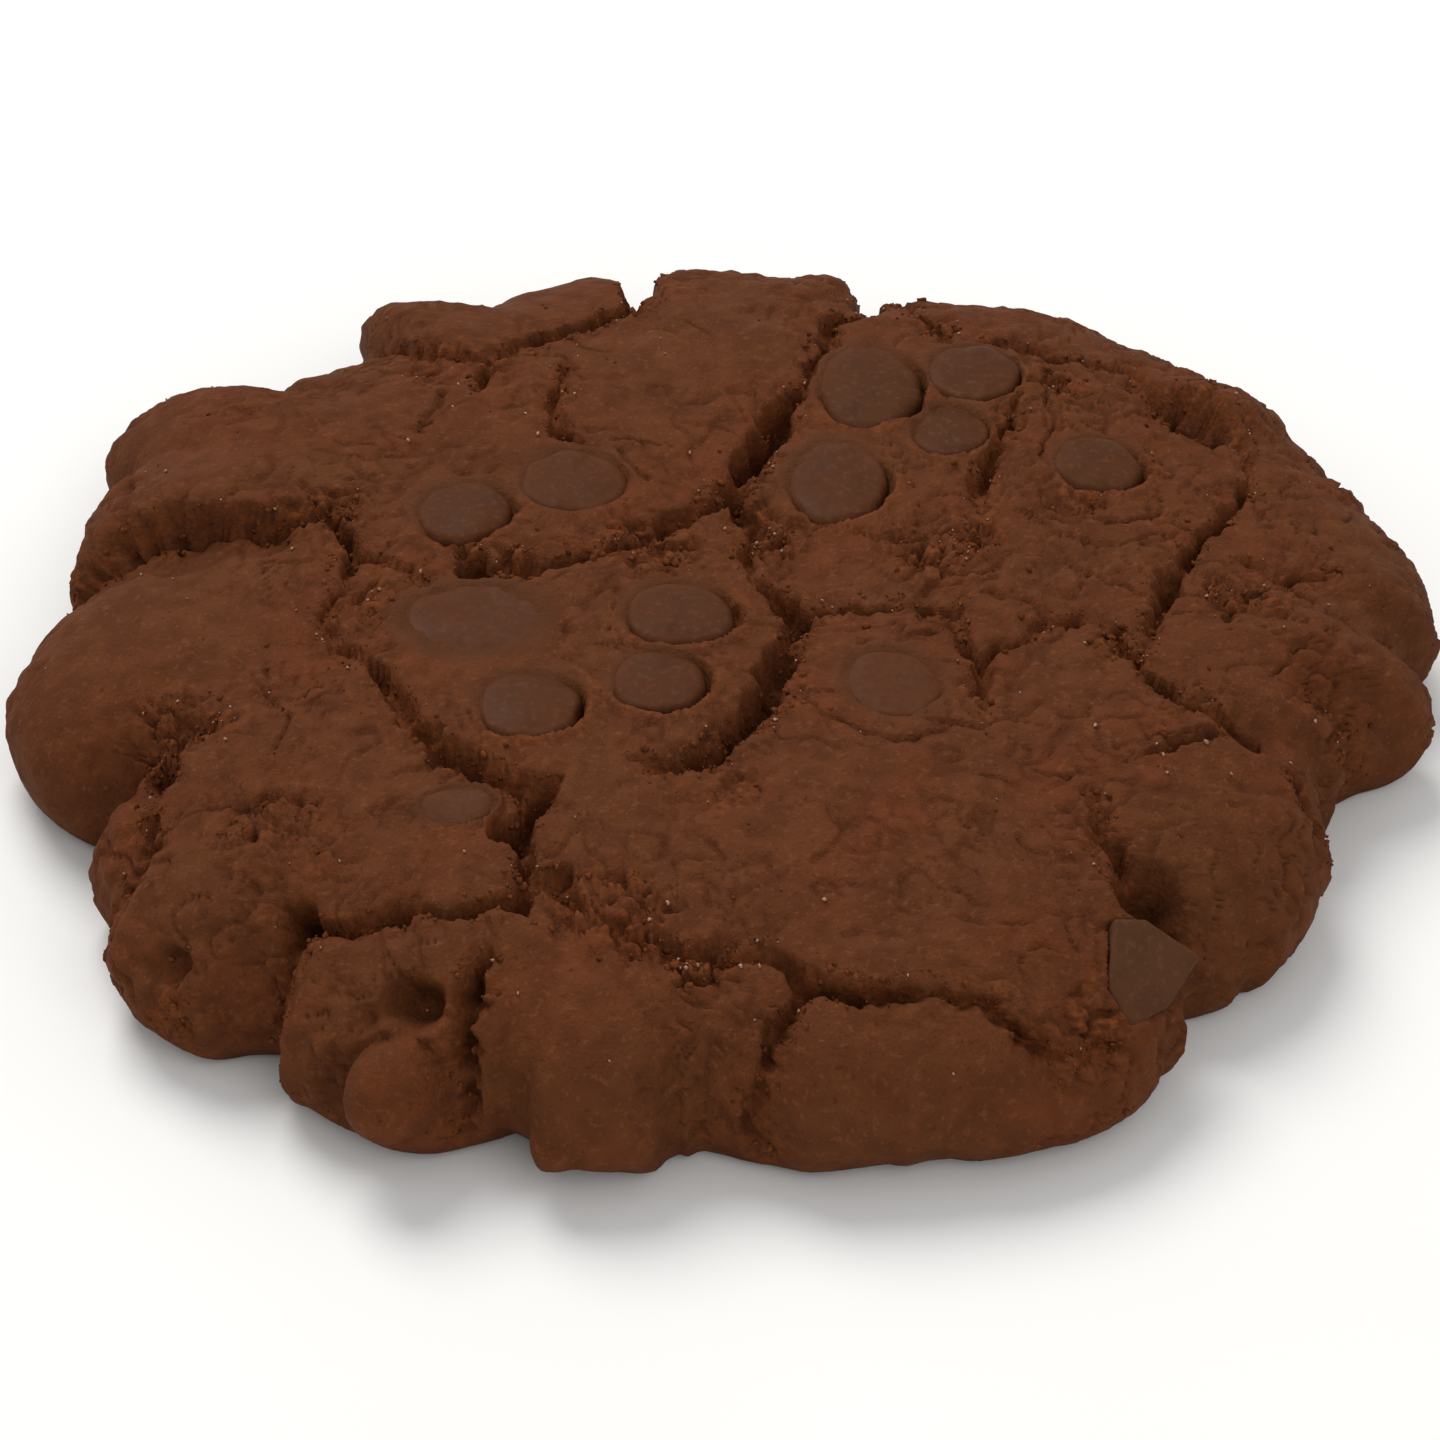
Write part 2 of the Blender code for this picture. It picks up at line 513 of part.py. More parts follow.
def main():
    clear_scene()
    parts = new_collection("double_chocolate_cookie")
    cutters = new_collection("socket_cutters")
    dough = material("dough", DOUGH_COLOUR, 0.85)
    chocolate = material("chocolate", CHOCOLATE_COLOUR, 0.55)
    add_chocolate(parts, cutters, chocolate)
    for cutter in cutters.objects:
        cutter.hide_render = True
        cutter.display_type = "WIRE"
    centre_on_origin(add_dough(parts, cutters, dough))


main()
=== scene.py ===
"""The double chocolate cookie's looks: finer cracked dough, chips, a broken chunk and crumbs.

Shapes are worked out in millimetres in the same plan as the solids: X to the right, Y away from
the front and Z up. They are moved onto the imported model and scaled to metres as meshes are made.
"""

import json
import math

import bmesh
import bpy
import numpy as np
from mathutils import Matrix, Vector, noise

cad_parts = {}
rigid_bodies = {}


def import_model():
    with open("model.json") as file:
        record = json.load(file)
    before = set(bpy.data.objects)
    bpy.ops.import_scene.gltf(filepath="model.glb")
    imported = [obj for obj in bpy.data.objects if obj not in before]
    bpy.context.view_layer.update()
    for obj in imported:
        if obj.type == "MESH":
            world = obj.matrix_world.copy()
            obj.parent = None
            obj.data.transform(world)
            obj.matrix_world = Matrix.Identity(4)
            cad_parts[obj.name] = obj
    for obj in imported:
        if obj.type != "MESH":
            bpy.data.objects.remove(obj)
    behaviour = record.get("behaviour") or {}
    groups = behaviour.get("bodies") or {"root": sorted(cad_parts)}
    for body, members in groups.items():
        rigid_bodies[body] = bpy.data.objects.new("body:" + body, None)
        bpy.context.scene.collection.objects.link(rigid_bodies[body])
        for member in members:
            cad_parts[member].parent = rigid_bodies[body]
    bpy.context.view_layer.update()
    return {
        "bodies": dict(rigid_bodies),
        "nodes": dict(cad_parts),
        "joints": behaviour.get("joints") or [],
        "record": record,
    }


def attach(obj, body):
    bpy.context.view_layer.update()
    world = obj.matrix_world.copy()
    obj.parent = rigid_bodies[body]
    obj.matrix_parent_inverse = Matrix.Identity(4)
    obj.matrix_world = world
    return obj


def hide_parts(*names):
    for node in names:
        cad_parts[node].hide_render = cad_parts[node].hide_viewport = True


MM = 0.001
PLAN_SHIFT = (-0.494, -3.577)    # from the plan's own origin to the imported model's, in mm

# The cookie's form, as in the solids but for the lobe at 257.4 degrees, which is wider here
THICKNESS = 13.6
WIDEST_HEIGHT = 4.5
UNDERCUT = 0.07
DOME_FULLNESS = 4.5
PLAN_CENTRE = (0.3, 4.2)
CORE_SHARE, CORE_HEIGHT = 0.78, 4.0
CORE_COVER = 0.6
PLAN_RADII = (44.6, 41.8)
RIM_LOBES = (
    (9, 12, 46.5), (26, 8, 44.9), (40, 9, 45.2), (53, 12, 43.5), (67, 8, 40.4), (80, 6, 40.8),
    (93, 8, 41.3), (107, 8, 41.4), (121, 5, 44.3), (138, 6, 41.7), (147, 5.5, 47.8),
    (157, 8, 44.8), (169, 7, 43.3), (183, 10, 45.6), (207, 7, 43.4), (218, 8.5, 45.8),
    (239, 9, 44.6), (257.4, 9, 42.6), (281, 12, 42), (299, 10, 44.9), (330, 13, 41.9),
    (358, 6.5, 44.8),
)
LOBE_DROP, LOBE_POWER = 2.4, 3.0
# Small nicks in the rim, and corners where the depth is below 0: bearing, half width and depth
RIM_CUTS = (
    (2.3, 3.2, 2.8), (351.9, 2.4, 2.2), (347.6, 2.6, -0.8), (343.4, 1.6, 0.5), (341, 2.8, 0.8),
    (336.5, 5, 0.7), (330, 6, 0.4), (322.4, 1.2, 0.8), (312.4, 2.8, -1.6), (295, 3.4, 0.5),
    (286.6, 2.2, -0.7), (272.5, 3.6, 0.6), (265.4, 1, 0.9), (259.5, 3, 0.5), (252.2, 2.2, 2.1),
    (243.5, 3.2, -0.4), (232.2, 1.6, -0.6), (226.3, 1.8, 1.3), (221, 4, -0.3), (201, 1.4, 0.5),
    (197.5, 2.5, 0.6), (178, 4, 0.5), (168, 2.6, 0.3), (161, 2.2, 0.5), (153, 3, 0.4),
    (139.8, 2.2, 1.7), (136, 5.5, 0.7), (135, 2, 0.5), (131, 2.4, -0.5), (125.4, 1.5, 1),
    (120.6, 3, -0.4), (118.3, 2.3, 0.8), (114.5, 1.2, -0.5), (107.5, 2.6, 0.5), (98.3, 1.4, 2.6),
    (94.8, 2.8, -0.7), (85.8, 1.6, -0.6), (79.4, 2.4, -0.5), (76.2, 1.4, 1.3), (74.5, 1.3, 2.9),
    (67, 8, 0.3), (45, 1.6, 0.6), (42.5, 2.6, 0.5), (33.5, 1.6, -0.6), (25.2, 1.8, 0.7),
    (21.5, 1.8, -0.9),
)
RIM_FLOOR = 38.8
EDGE_POWER = 5.0
# How much of the mesh goes to the top, its shoulder and the flank; the rest goes to the base
TOP_SHARE, SHOULDER_SHARE, FLANK_SHARE = 0.64, 0.20, 0.12
SHOULDER_RADIUS = 0.88

# The dough's mesh
RIM_SEGMENTS = 1024
RING_GAP, BASE_RING_GAP = 0.24, 0.6     # between the rings of the dough's mesh
SEGMENT_GAP = 0.147                     # at least this between the points of a ring
BASE_PIT_DEPTH = 0.45
DOUGH_TRIANGLES = 194_000

# Cracks: how much higher the left-hand side stands, then the route as X, Y and the gap's width
CRACKS = {
    "back_arc": (0, (
        (10.8, 44, 3), (10.5, 38, 2.2), (9.5, 34.6, 1.1), (7.3, 33.4, 1.1), (6.5, 29, 1.2),
        (5.6, 25.2, 1.4), (4.2, 22.5, 1.6), (3, 19, 2.2), (1.3, 16, 2), (0.7, 13.4, 1.7),
        (-2, 12.1, 1.5), (-4, 9.9, 1.4), (-5.6, 8.3, 1.6), (-8.5, 6.9, 1.4), (-12, 5.8, 1.5),
        (-14.6, 5.6, 1.6), (-16.4, 8.2, 0.9), (-17.8, 8.8, 0.4))),
    "back_left_bend": (0.8, (
        (-18.4, 4.6, 0.6), (-21.2, 7.2, 0.7), (-23.3, 7.8, 1.3), (-24, 10.2, 1.7),
        (-24.8, 12.2, 1.3), (-26, 13.4, 0.4))),
    "back_left_ledge": (-3.4, (
        (-24.8, 12.4, 0.5), (-26.6, 12.4, 1.1), (-28.5, 12.2, 1.2), (-32, 12.9, 1.4),
        (-34.3, 13.5, 1.4), (-37.2, 13.8, 1.3), (-39.6, 13.7, 1.3), (-42.4, 13.3, 1.5),
        (-46, 12.4, 1.8))),
    "centre": (0, (
        (0.9, 13.2, 1.4), (2, 11, 1.2), (2.5, 9, 0.9), (1.8, 7.6, 0.8), (1.9, 5.2, 0.9),
        (3.6, 3.3, 1.2), (5.1, 1.3, 1.7), (4.5, -1.2, 1.8), (3.6, -3.4, 2.4), (2.9, -6.4, 2.6),
        (1.6, -9.4, 2.2), (-0.9, -12, 2.2), (-3.2, -13, 1.2), (-5.3, -12.2, 0.6))),
    "centre_right": (0.3, (
        (5.2, 1.4, 1.2), (7.4, 2.3, 0.9), (11.8, 2.1, 0.8), (14.4, 1.6, 0.8), (15.2, -1, 1.1),
        (16.2, -3.4, 1.2), (16, -7.6, 0.5))),
    "right_zigzag": (-0.4, (
        (16.3, -3, 0.9), (18.6, -1.6, 0.9), (20.2, 0.5, 0.8), (22.6, 1.3, 0.9), (24.2, 0.4, 0.8),
        (24.8, -1.8, 1.2), (26.2, -4.2, 1.5), (28.2, -5.8, 1.5), (30.6, -6.8, 1.2), (33, -8, 1.6),
        (35.2, -10, 1.6), (37.4, -12.6, 1.6), (41, -14.5, 1.6))),
    "left_diagonal": (0.7, (
        (-23.3, 7.4, 0.7), (-23.6, 4.4, 0.7), (-24.6, 2, 0.6), (-24, -1, 0.8), (-22, -2.8, 1.1),
        (-20, -5.2, 1.2), (-19.1, -8.6, 1.2), (-16.6, -11.6, 1.6), (-13.8, -13.6, 1.8),
        (-11, -15.2, 2.1), (-10.6, -16.8, 1.9), (-12.4, -18, 1.7), (-11.7, -20.4, 1.3),
        (-11.2, -22.6, 1.4), (-11.8, -24.6, 2), (-14.2, -24.8, 1.8), (-17.4, -24.8, 1.4),
        (-20.4, -25.2, 1.5), (-23.2, -25, 1.3), (-25.6, -23.4, 1.8))),
    "left_drop": (0, (
        (-25.6, -23.8, 1.4), (-26.4, -27, 1.4), (-27.4, -30, 1.3), (-29.6, -35, 1.6),
        (-31, -38, 2))),
    "front_arc": (0.8, (
        (-11.4, -22.8, 0.9), (-9.4, -23, 1.5), (-8.2, -25.8, 0.8), (-4, -27.4, 0.9),
        (-0.6, -28.4, 1), (3.8, -28.9, 1.2), (5.4, -31, 1.5), (10.6, -31.2, 1.4), (12.8, -30.6, 1),
        (16.2, -31.6, 0.9), (19.2, -33.5, 1.5), (21.8, -33.2, 1.2), (24.2, -32.2, 0.8))),
    "front_branch": (0, (
        (5, -31.3, 1.1), (3.4, -33.2, 1.2), (2.8, -35.2, 1.5), (0.8, -37, 1.4), (-1.4, -39.4, 0.8),
        (-2.4, -42, 1.4))),
    "front_block_edge": (0, (
        (-13.7, -28.2, 1.1), (-15.2, -30.2, 1.7), (-15.3, -33.6, 2.2), (-14.6, -36.8, 2.2),
        (-13.4, -42, 2.2))),
    "right_arc": (-0.5, (
        (12.2, 40, 0.9), (12.7, 35.4, 1.1), (14.4, 32.4, 1.1), (15.4, 30.4, 0.8), (19.2, 31, 0.7),
        (21.8, 29.8, 1.2), (24.8, 29, 0.7), (27, 29.6, 0.9), (28, 28.4, 0.5))),
    "right_gash": (2.2, (
        (27, 29, 0.5), (28.7, 26.8, 1.7), (30.6, 24.6, 2.2), (32.8, 23.4, 1.9),
        (34.6, 21.8, 0.5))),
    "right_back": (-0.5, (
        (33.2, 23, 0.6), (34.3, 20.8, 1.2), (34.1, 17.4, 0.9), (33, 14.6, 1), (31, 11.6, 1.2),
        (29.2, 7.8, 1.5), (27.8, 4.4, 1.7), (27, 1.2, 1), (26.4, -1, 0.4))),
    "chip_gap": (0, (
        (19.4, 24.6, 0.5), (18.5, 21.4, 0.9), (17.5, 18.2, 1.1), (16.6, 14.8, 1),
        (16.7, 11.4, 0.4))),
    "back_hook": (0, (
        (-10.5, 27.2, 0.5), (-10.6, 23, 1), (-10.3, 20.2, 1.2), (-8.9, 18.8, 0.7))),
    "back_plate_edge": (-0.6, (
        (-5.6, 44, 2.4), (-5.6, 38.5, 2), (-5.8, 35.2, 1.3), (-7.9, 33.4, 1), (-11, 31.9, 1),
        (-13.6, 30.3, 1.1), (-14.8, 28.8, 1.3), (-15.5, 26.8, 1.2), (-15.6, 25.2, 0.5))),
    "back_plate_side": (0.6, (
        (-23.4, 34.6, 0.5), (-21, 32.9, 1), (-19.2, 30.7, 1), (-17, 30, 0.9), (-14.8, 29, 0.6))),
    "left_hook": (0.4, (
        (-31.2, -6.8, 0.6), (-33.6, -7.6, 1.5), (-35.2, -9.6, 1.8), (-34.7, -13, 1.4),
        (-35.6, -17.2, 1.6), (-38.4, -21, 1.6))),
    "left_flank": (0, (
        (-34.2, -25.4, 0.8), (-32, -28.2, 1.7), (-29.6, -31.4, 1.2))),
    "right_cavity": (0, (
        (23, -15.6, 0.6), (23.2, -18.2, 1.1), (24.2, -20.4, 1.8), (26, -22.6, 2.6), (28, -24, 1.8),
        (29.4, -26.4, 1.2), (31, -29.6, 1.4))),
    "right_tick": (0, (
        (30.2, -8.8, 1), (27.6, -10.4, 0.9), (25.8, -12.2, 0.4))),
    "right_rim": (0, (
        (33, 8.4, 0.5), (35.6, 7.2, 0.9), (39.2, 9.3, 0.5))),
}
# Cracks too fine for the solids: routes as X, Y and width
HAIRLINES = (
    ((-17.8, 25.2, 0.3), (-18.4, 22.8, 0.5), (-19.3, 20.2, 0.3)),
    ((-6.6, 18.2, 0.5), (-5.8, 16.4, 0.7), (-4.6, 15, 0.5)),
    ((-7.4, 19.3, 0.3), (-5.4, 19.1, 0.4), (-2.8, 18, 0.2)),
    ((-13, 13.2, 0.6), (-13.4, 11.4, 0.8), (-14.8, 8.8, 0.6)),
    ((-15.3, 6.8, 0.9), (-17.5, 8.6, 0.6)), ((-26.6, 15.4, 0.6), (-26, 14, 0.5)),
    ((18.9, 32.4, 0.5), (19.6, 30, 0.7), (20.2, 27.8, 0.5)),
    ((21.4, 25.6, 0.4), (21, 23.4, 0.5), (21.4, 20.8, 0.4), (20.4, 18, 0.3)),
    ((18.6, 11.6, 0.4), (20.6, 11, 0.5), (22.8, 10.6, 0.4)),
    ((21.4, 7, 0.4), (24.2, 5, 0.4), (26.6, 3.8, 0.3)),
    ((16.6, 3.4, 0.4), (19.4, 2.6, 0.5), (20.6, 1, 0.3)),
    ((8.6, 9.6, 0.3), (12.6, 8.6, 0.4), (15.6, 9.6, 0.5), (17.4, 8, 0.4)),
    ((33.2, 8.4, 0.5), (34.2, 6.8, 0.6), (36, 6.5, 0.4)),
    ((-38, 21.4, 0.4), (-38.4, 19.4, 0.9), (-37.9, 17, 0.9)),
    ((34.2, -2.6, 0.3), (35.8, -0.6, 0.4), (37.4, 0.8, 0.3)),
    ((22.2, -12.6, 0.4), (21, -13.8, 0.5), (19.4, -13.4, 0.3)),
    ((13.2, -8.6, 0.3), (16, -9.2, 0.4), (19.6, -8.8, 0.3)),
    ((-13.6, -29, 0.6), (-15.2, -30.2, 0.4)),
    ((-24.4, -31.6, 0.7), (-23.4, -34.8, 0.9), (-22.8, -37, 0.6)),
    ((-28.8, -4, 0.3), (-26.6, -7.6, 0.4), (-27.2, -11, 0.3)),
    ((-30.2, -15.2, 0.4), (-27, -14.4, 0.4), (-24, -15.4, 0.3)),
    ((-29, -17.8, 0.3), (-26, -17.2, 0.4), (-23.4, -18.6, 0.3)),
)
# Folds in the crust round the buried chips: X, Y, radius, first and last bearing, width
FOLDS = (
    (10.6, -5, 5.6, 185, 330, 0.6), (24.4, 15.6, 4.6, 205, 335, 0.5),
    (24.4, 15.2, 6.4, 215, 320, 0.4), (-2.6, 1.4, 4.7, 200, 300, 0.4),
    (9.8, 25.4, 5.2, 300, 400, 0.5), (7.2, 14.8, 4.9, 150, 290, 0.5),
    (-30.8, -19.4, 4.6, 20, 150, 0.5), (35.8, 1.8, 4.2, 20, 200, 0.5),
    (15.6, 6.8, 2.1, 170, 340, 0.5), (31, -15, 6.6, 60, 160, 0.4),
)
CRACK_WIDEN = 0.9
SHALLOWEST, DEEPEST = 0.45, 3.8
DEPTH_PER_WIDTH = 1.4
HAIRLINE_DEPTH = 0.5
CRACK_WALL_POWER = 1.9  # higher is a squarer trench
LEDGE_REACH = 5.0
WANDER, WANDER_LENGTH = 0.45, 2.6
# Noises, each as its height, length and seed
EDGE_NOISE_X = ((0.34, 1.2, 3), (0.05, 0.6, 4))
EDGE_NOISE_Y = ((0.34, 1.2, 5), (0.05, 0.6, 6))
WIDTH_NOISE = ((0.50, 2.2, 7), (0.25, 1.0, 27))
FLOOR_NOISE = ((0.35, 1.9, 8),)
SOCKET_NOISE = ((0.08, 2.4, 9), (0.05, 0.9, 19))
CHIP_FACE_NOISE = ((0.15, 2.2, 42), (0.05, 0.8, 43))
GRAIN_NOISE = ((0.6, 0.7, 56), (0.4, 1.6, 57))
# Layers of broken crust: a piece's length, height and seed; and wrinkles: length, width and seed
BROKEN_LAYERS = ((2.1, 0.80, 1), (1.0, 0.32, 2))
WRINKLES = ((4.2, 0.09, 36), (2.6, 0.11, 38), (1.7, 0.13, 45))
WRINKLE_DEPTH = 0.34
SIDE_HEIGHT, TOP_HEIGHT = 6.0, 10.0
SIDE_DEPTH, SIDE_WANDER = 0.45, 0.3
SHOULDER_DROP, SHOULDER_REACH = 0.16, 0.8   # crust rounding down to a crack

# Hollows and swellings: X, Y, radius, and depth or height
HOLLOWS = (
    (-1.2, -12.2, 1.3, 2.6), (25.9, -21.7, 2.5, 4.2), (-13, -18.4, 1.3, 2.2),
    (-35.2, -10.4, 2.3, 1.6), (-25.4, -23.6, 1.4, 1.8), (-38, 12, 3.4, 1), (-33.4, 10.8, 3.8, 1.2),
    (-28.8, 10.6, 2.8, 0.9), (32.8, -7.8, 2.6, 0.9), (-23.4, -34, 1.8, 1.2), (-15.6, 6, 1.3, 1.8),
    (21.9, 29.6, 1.2, 1.2),
)
SWELLINGS = (
    (31, -15, 7, 0.6), (35.8, 2, 3.8, 0.5), (-30.8, -19.4, 4.4, 0.8), (-21.6, -21.6, 4, 0.5),
    (-9.6, -34.6, 5.6, 1), (13, -36, 9, 0.5), (-38.5, 2, 6.5, 0.5), (31, -27, 3.6, 0.8),
    (33.6, 26.8, 3.4, 0.3),
)
SMALL_SWELLINGS = (
    (15.6, 6.8, 1.9, 0.35), (12.6, 12, 1.6, 0.2), (20.4, 13.4, 1.8, 0.25), (-27.6, -9.6, 3, 0.3),
    (-33.2, -14.4, 2.4, 0.4), (-4.6, -24.6, 1.8, 0.25), (-31.8, 8.4, 3.4, 0.3),
    (8.6, 32, 2.2, 0.2), (27.6, 22.6, 2.6, 0.25), (3.2, -26, 3, 0.2),
)
# Round lumps and pits on the flank: X, Y, Z, radius and height, below 0 for a pit
FLANK_LUMPS = (
    (-19.5, -34.7, 6.2, 3, 2.2), (-18.5, -31.3, 10.2, 2.4, -3.3), (-21.2, -31.8, 9.6, 1.5, -1.2),
    (-10.4, -36.6, 2.8, 2, 0.5), (-6.9, -37, 2.6, 1.6, 0.5), (-3.8, -37.4, 3, 2, 0.5),
    (-33.4, -24.6, 7, 1.8, -1.8), (-32.6, -28.8, 5.6, 1.9, -2), (-29.4, -31.6, 5.4, 2.4, 0.5),
    (-25.6, -34.6, 5, 2.6, 0.6), (-36.4, -21.6, 6, 2.2, 0.5), (-41, -8.6, 5.2, 2.4, 0.4),
    (-23.8, -33.4, 7.6, 1.7, -1.3), (38.4, -13.4, 5.4, 2.4, 0.5),
)
HOLLOW_STEEPNESS, SMOOTH_STEEPNESS, BROKEN_STEEPNESS = 1.6, 1.8, 1.3
LUMP_MOAT = 0.65    # how deep the crease round a round lump is cut
BROAD_WAVE, BROAD_LENGTH = 0.45, 13.0

# Places where the crust has baked smooth: X, Y and radius
SMOOTH_PATCHES = (
    (-9, -32, 8), (11, -36, 11), (-36, 3, 9), (-15, 1, 6), (-41, -2, 6), (-38, 24, 5),
    (-20, -35, 4), (9, 24, 5), (-10, 38, 7), (-33, 19, 5),
)
# Places where the crust has broken up: X, Y, radius and strength
BROKEN_PATCHES = (
    (-22.4, 2.4, 4.2, 1), (-33.8, -6.6, 4, 1), (-4.2, 8.2, 4.6, 0.8), (-27, -17.4, 5, 0.6),
    (-6.4, -25.8, 4.6, 1), (-1.6, -29, 3, 0.6), (14.4, 7.6, 5, 0.8), (22.4, 13.6, 3.6, 0.8),
    (33.4, 4.8, 4.6, 0.8), (21.6, 25.6, 3.4, 0.7), (28.6, 25.8, 4, 0.6), (22.6, -31, 2.6, 1),
    (-12.6, 6.2, 3, 0.6), (-13.6, -16, 3, 0.7), (3.6, 9.6, 3.4, 0.6), (38.6, -2.4, 4, 0.6),
    (-24.6, 12.6, 3, 0.7), (-17.4, 28.4, 4, 0.5), (30.6, 29.4, 3.6, 0.7), (0.4, -15.4, 3.4, 0.4),
    (-9.4, 0.6, 2.4, 0.4),
)

CRUMB_GAP = 0.2         # how wide the gaps between broken pieces are, as a share of a piece

# Chips: X, Y, half length in X and Y, height of the top above the crust, how open the groove round
# it is, from 0 where the dough has closed over the edge to 1, and how much dough films its face
CHIPS = {
    "chip_back_left": (9.6, 25.4, 3.6, 4.8, -0.04, 1.0, 0.1),
    "chip_back_middle": (16.4, 27.0, 3.3, 3.6, 0.06, 0.7, 0.1),
    "chip_back_near": (14.7, 20.4, 2.7, 2.8, -0.10, 0.6, 0.0),
    "chip_back_front": (7.4, 14.9, 3.4, 4.3, -0.04, 0.8, 0.2),
    "chip_back_right": (24.2, 17.2, 3.1, 3.0, 0.10, 1.0, 0.1),
    "chip_far_left": (-16.3, 11.9, 3.3, 3.2, 0.00, 0.7, 0.1),
    "chip_far_middle": (-9.4, 15.0, 3.6, 3.4, 0.00, 0.5, 0.3),
    "chip_melted": (-15.4, 1.0, 5.0, 3.8, -0.10, 0.0, 0.5),
    "chip_centre_upper": (-2.5, 1.5, 3.7, 3.3, -0.04, 1.0, 0.2),
    "chip_centre_lower": (-3.8, -5.2, 3.1, 3.0, -0.06, 1.0, 0.2),
    "chip_centre_left": (-11.8, -7.2, 3.4, 3.4, -0.06, 1.0, 0.3),
    "chip_crack_side": (-15.9, -16.2, 2.6, 1.8, -0.12, 0.2, 0.8),
    "chip_middle_right": (10.6, -5.2, 3.4, 3.4, -0.12, 0.2, 0.8),
}
CHIP_HALF_THICKNESS = 1.2
CHIP_SQUARENESS = 0.22
CHIP_SEGMENTS, CHIP_RINGS = 72, 40
CHIP_BED_DEPTH, CHIP_FILM_DEPTH = 1.4, 0.26      # under a chip's open side, and its closed side
CHIP_OPEN_SIDE = math.radians(-60)      # the side of each chip where its groove is widest
# Where a chip's socket begins, as a share of the chip, how far the dough closes over the edge, and
# how thick the socket's wall is where it is open and what a closed side adds
SOCKET_SHARE, SOCKET_CLOSING, SOCKET_WALL, SOCKET_CLOSED_WALL = 1.05, 0.27, 0.05, 0.13
CHIP_TILT = 0.02
LIP_HEIGHT, LIP_WIDTH = 0.32, 0.5

CHUNK_MIDDLE = (26.1, -26.8, 8.9)
CHUNK_FACING = (0.42, -0.48, 0.77)
CHUNK_OUTLINE = ((-3.1, 2.6), (-0.9, 3.1), (3.1, 1.7), (1.3, -2.0), (-1.1, -4.1), (-3.0, -2.0))
CHUNK_THICKNESS = 3.4
CHUNK_BEVEL = 0.3

# Scattered grains: how many, the smallest size, how much larger they get, how rare large ones
# are, and how far off the crust their middles lie as a share of their size
CRUMBS = (3200, 0.10, 0.24, 3.0, 0.1)
GLINTS = (300, 0.07, 0.13, 2, 0.6)
LOBE_BLEND, LOBE_TRIM = 0.45, 0.25      # how softly one rim lobe runs into the next
SEED = 11
FLOOR_GAP = 0.05        # under the base, so that the two faces do not meet
FLOOR_REACH = 3.0       # in metres

# Colours of the dough, then of the chips, the chunk, the crumbs and the sugar
BROWN, REDDISH = (0.099, 0.0342, 0.0112), (0.118, 0.0296, 0.0088)
# The last colour on the next line is torn crust's own colour, also laid on the chips' raised lips
# as a painted highlight
MOTTLE, SPECK, TORN_AND_LIP_HIGHLIGHT = (0.079, 0.0246, 0.0092), (0.174, 0.060, 0.0225), (0.174, 0.047, 0.0125)
# The last colour on the next line is painted shade, which darkens the dough in its cracks, gaps,
# wrinkles and hollows
MELTED, PORE, PAINTED_RECESS_SHADE = (0.078, 0.0280, 0.0112), (0.045, 0.014, 0.006), (0.052, 0.0150, 0.0065)
UNDERSIDE = (0.050, 0.018, 0.007)
CHIP_COLOURS = ((0.060, 0.0198, 0.0064), (0.074, 0.0230, 0.0076))
CHUNK_COLOURS = ((0.070, 0.0285, 0.0125), (0.084, 0.0320, 0.0145))
DUST, FILM = (0.140, 0.058, 0.026), (0.088, 0.0285, 0.0108)
CRUMB_COLOURS = ((0.085, 0.0240, 0.0080), (0.165, 0.048, 0.0135))
SUGAR_COLOURS = ((0.24, 0.100, 0.048), (0.40, 0.225, 0.140))
CRUMB_SHADE, SUGAR_SHADE = (0.055, 0.017, 0.007), (0.24, 0.11, 0.06)
FLOOR_COLOURS = ((0.86, 0.86, 0.85), (0.88, 0.88, 0.87))
DULL = 0.06     # specular level of the dough and the chocolate

# The photograph's view, in the plan's own millimetres
VIEW_ELEVATION = math.radians(40)
VIEW_DISTANCE = 500.0
VIEW_WIDTH = 90.5
VIEW_TARGET = (0.0, 0.0, 6.0)
SENSOR = 36.0
# Lights: place and width in metres, watts and colour
LIGHTS = {
    "key": ((-0.30, 0.60, 0.90), 0.7, 8.8, (1.0, 0.985, 0.96)),
    "fill": ((0.4, -0.85, 0.75), 1.1, 3.5, (1.0, 1.0, 1.0)),
}
SKY_STRENGTH = 0.55


def held(value):
    return np.clip(value, 0.0, 1.0)


def smooth_step(value):
    share = held(value)
    return share * share * (3.0 - 2.0 * share)


def solid_noise(points, length, seed):
    """The noise that shapes the solids, so that this finer form lies on theirs."""
    offset = Vector((seed * 17.3, seed * -9.1, seed * 5.7))
    return np.array([
        noise.fractal(Vector(point) + offset, 1.0, 2.0, 1, noise_basis="PERLIN_ORIGINAL")
        for point in points / length
    ])


def corner_gradients():
    draw = np.random.default_rng(SEED)
    mixed = draw.permutation(256)
    directions = draw.normal(size=(256, 3))
    directions /= np.linalg.norm(directions, axis=1, keepdims=True)
    return np.concatenate([mixed, mixed, mixed]), directions


MIXED, GRADIENTS = corner_gradients()


def fine_noise(points, length, seed):
    """Smooth noise from about -1 to 1, with features of about this length."""
    spot = points / length + np.array([seed * 13.7, seed * -7.9, seed * 4.3])
    cell = np.floor(spot).astype(int)
    inside = spot - cell
    blend = inside ** 3 * (inside * (inside * 6.0 - 15.0) + 10.0)
    total = np.zeros(len(points))
    for corner in range(8):
        step = np.array([corner & 1, corner >> 1 & 1, corner >> 2 & 1])
        x, y, z = ((cell + step) & 255).T
        gradient = GRADIENTS[MIXED[MIXED[MIXED[x] + y] + z]]
        weight = np.prod(np.where(step, blend, 1.0 - blend), axis=1)
        total += weight * np.sum(gradient * (inside - step), axis=1)
    return 1.8 * total


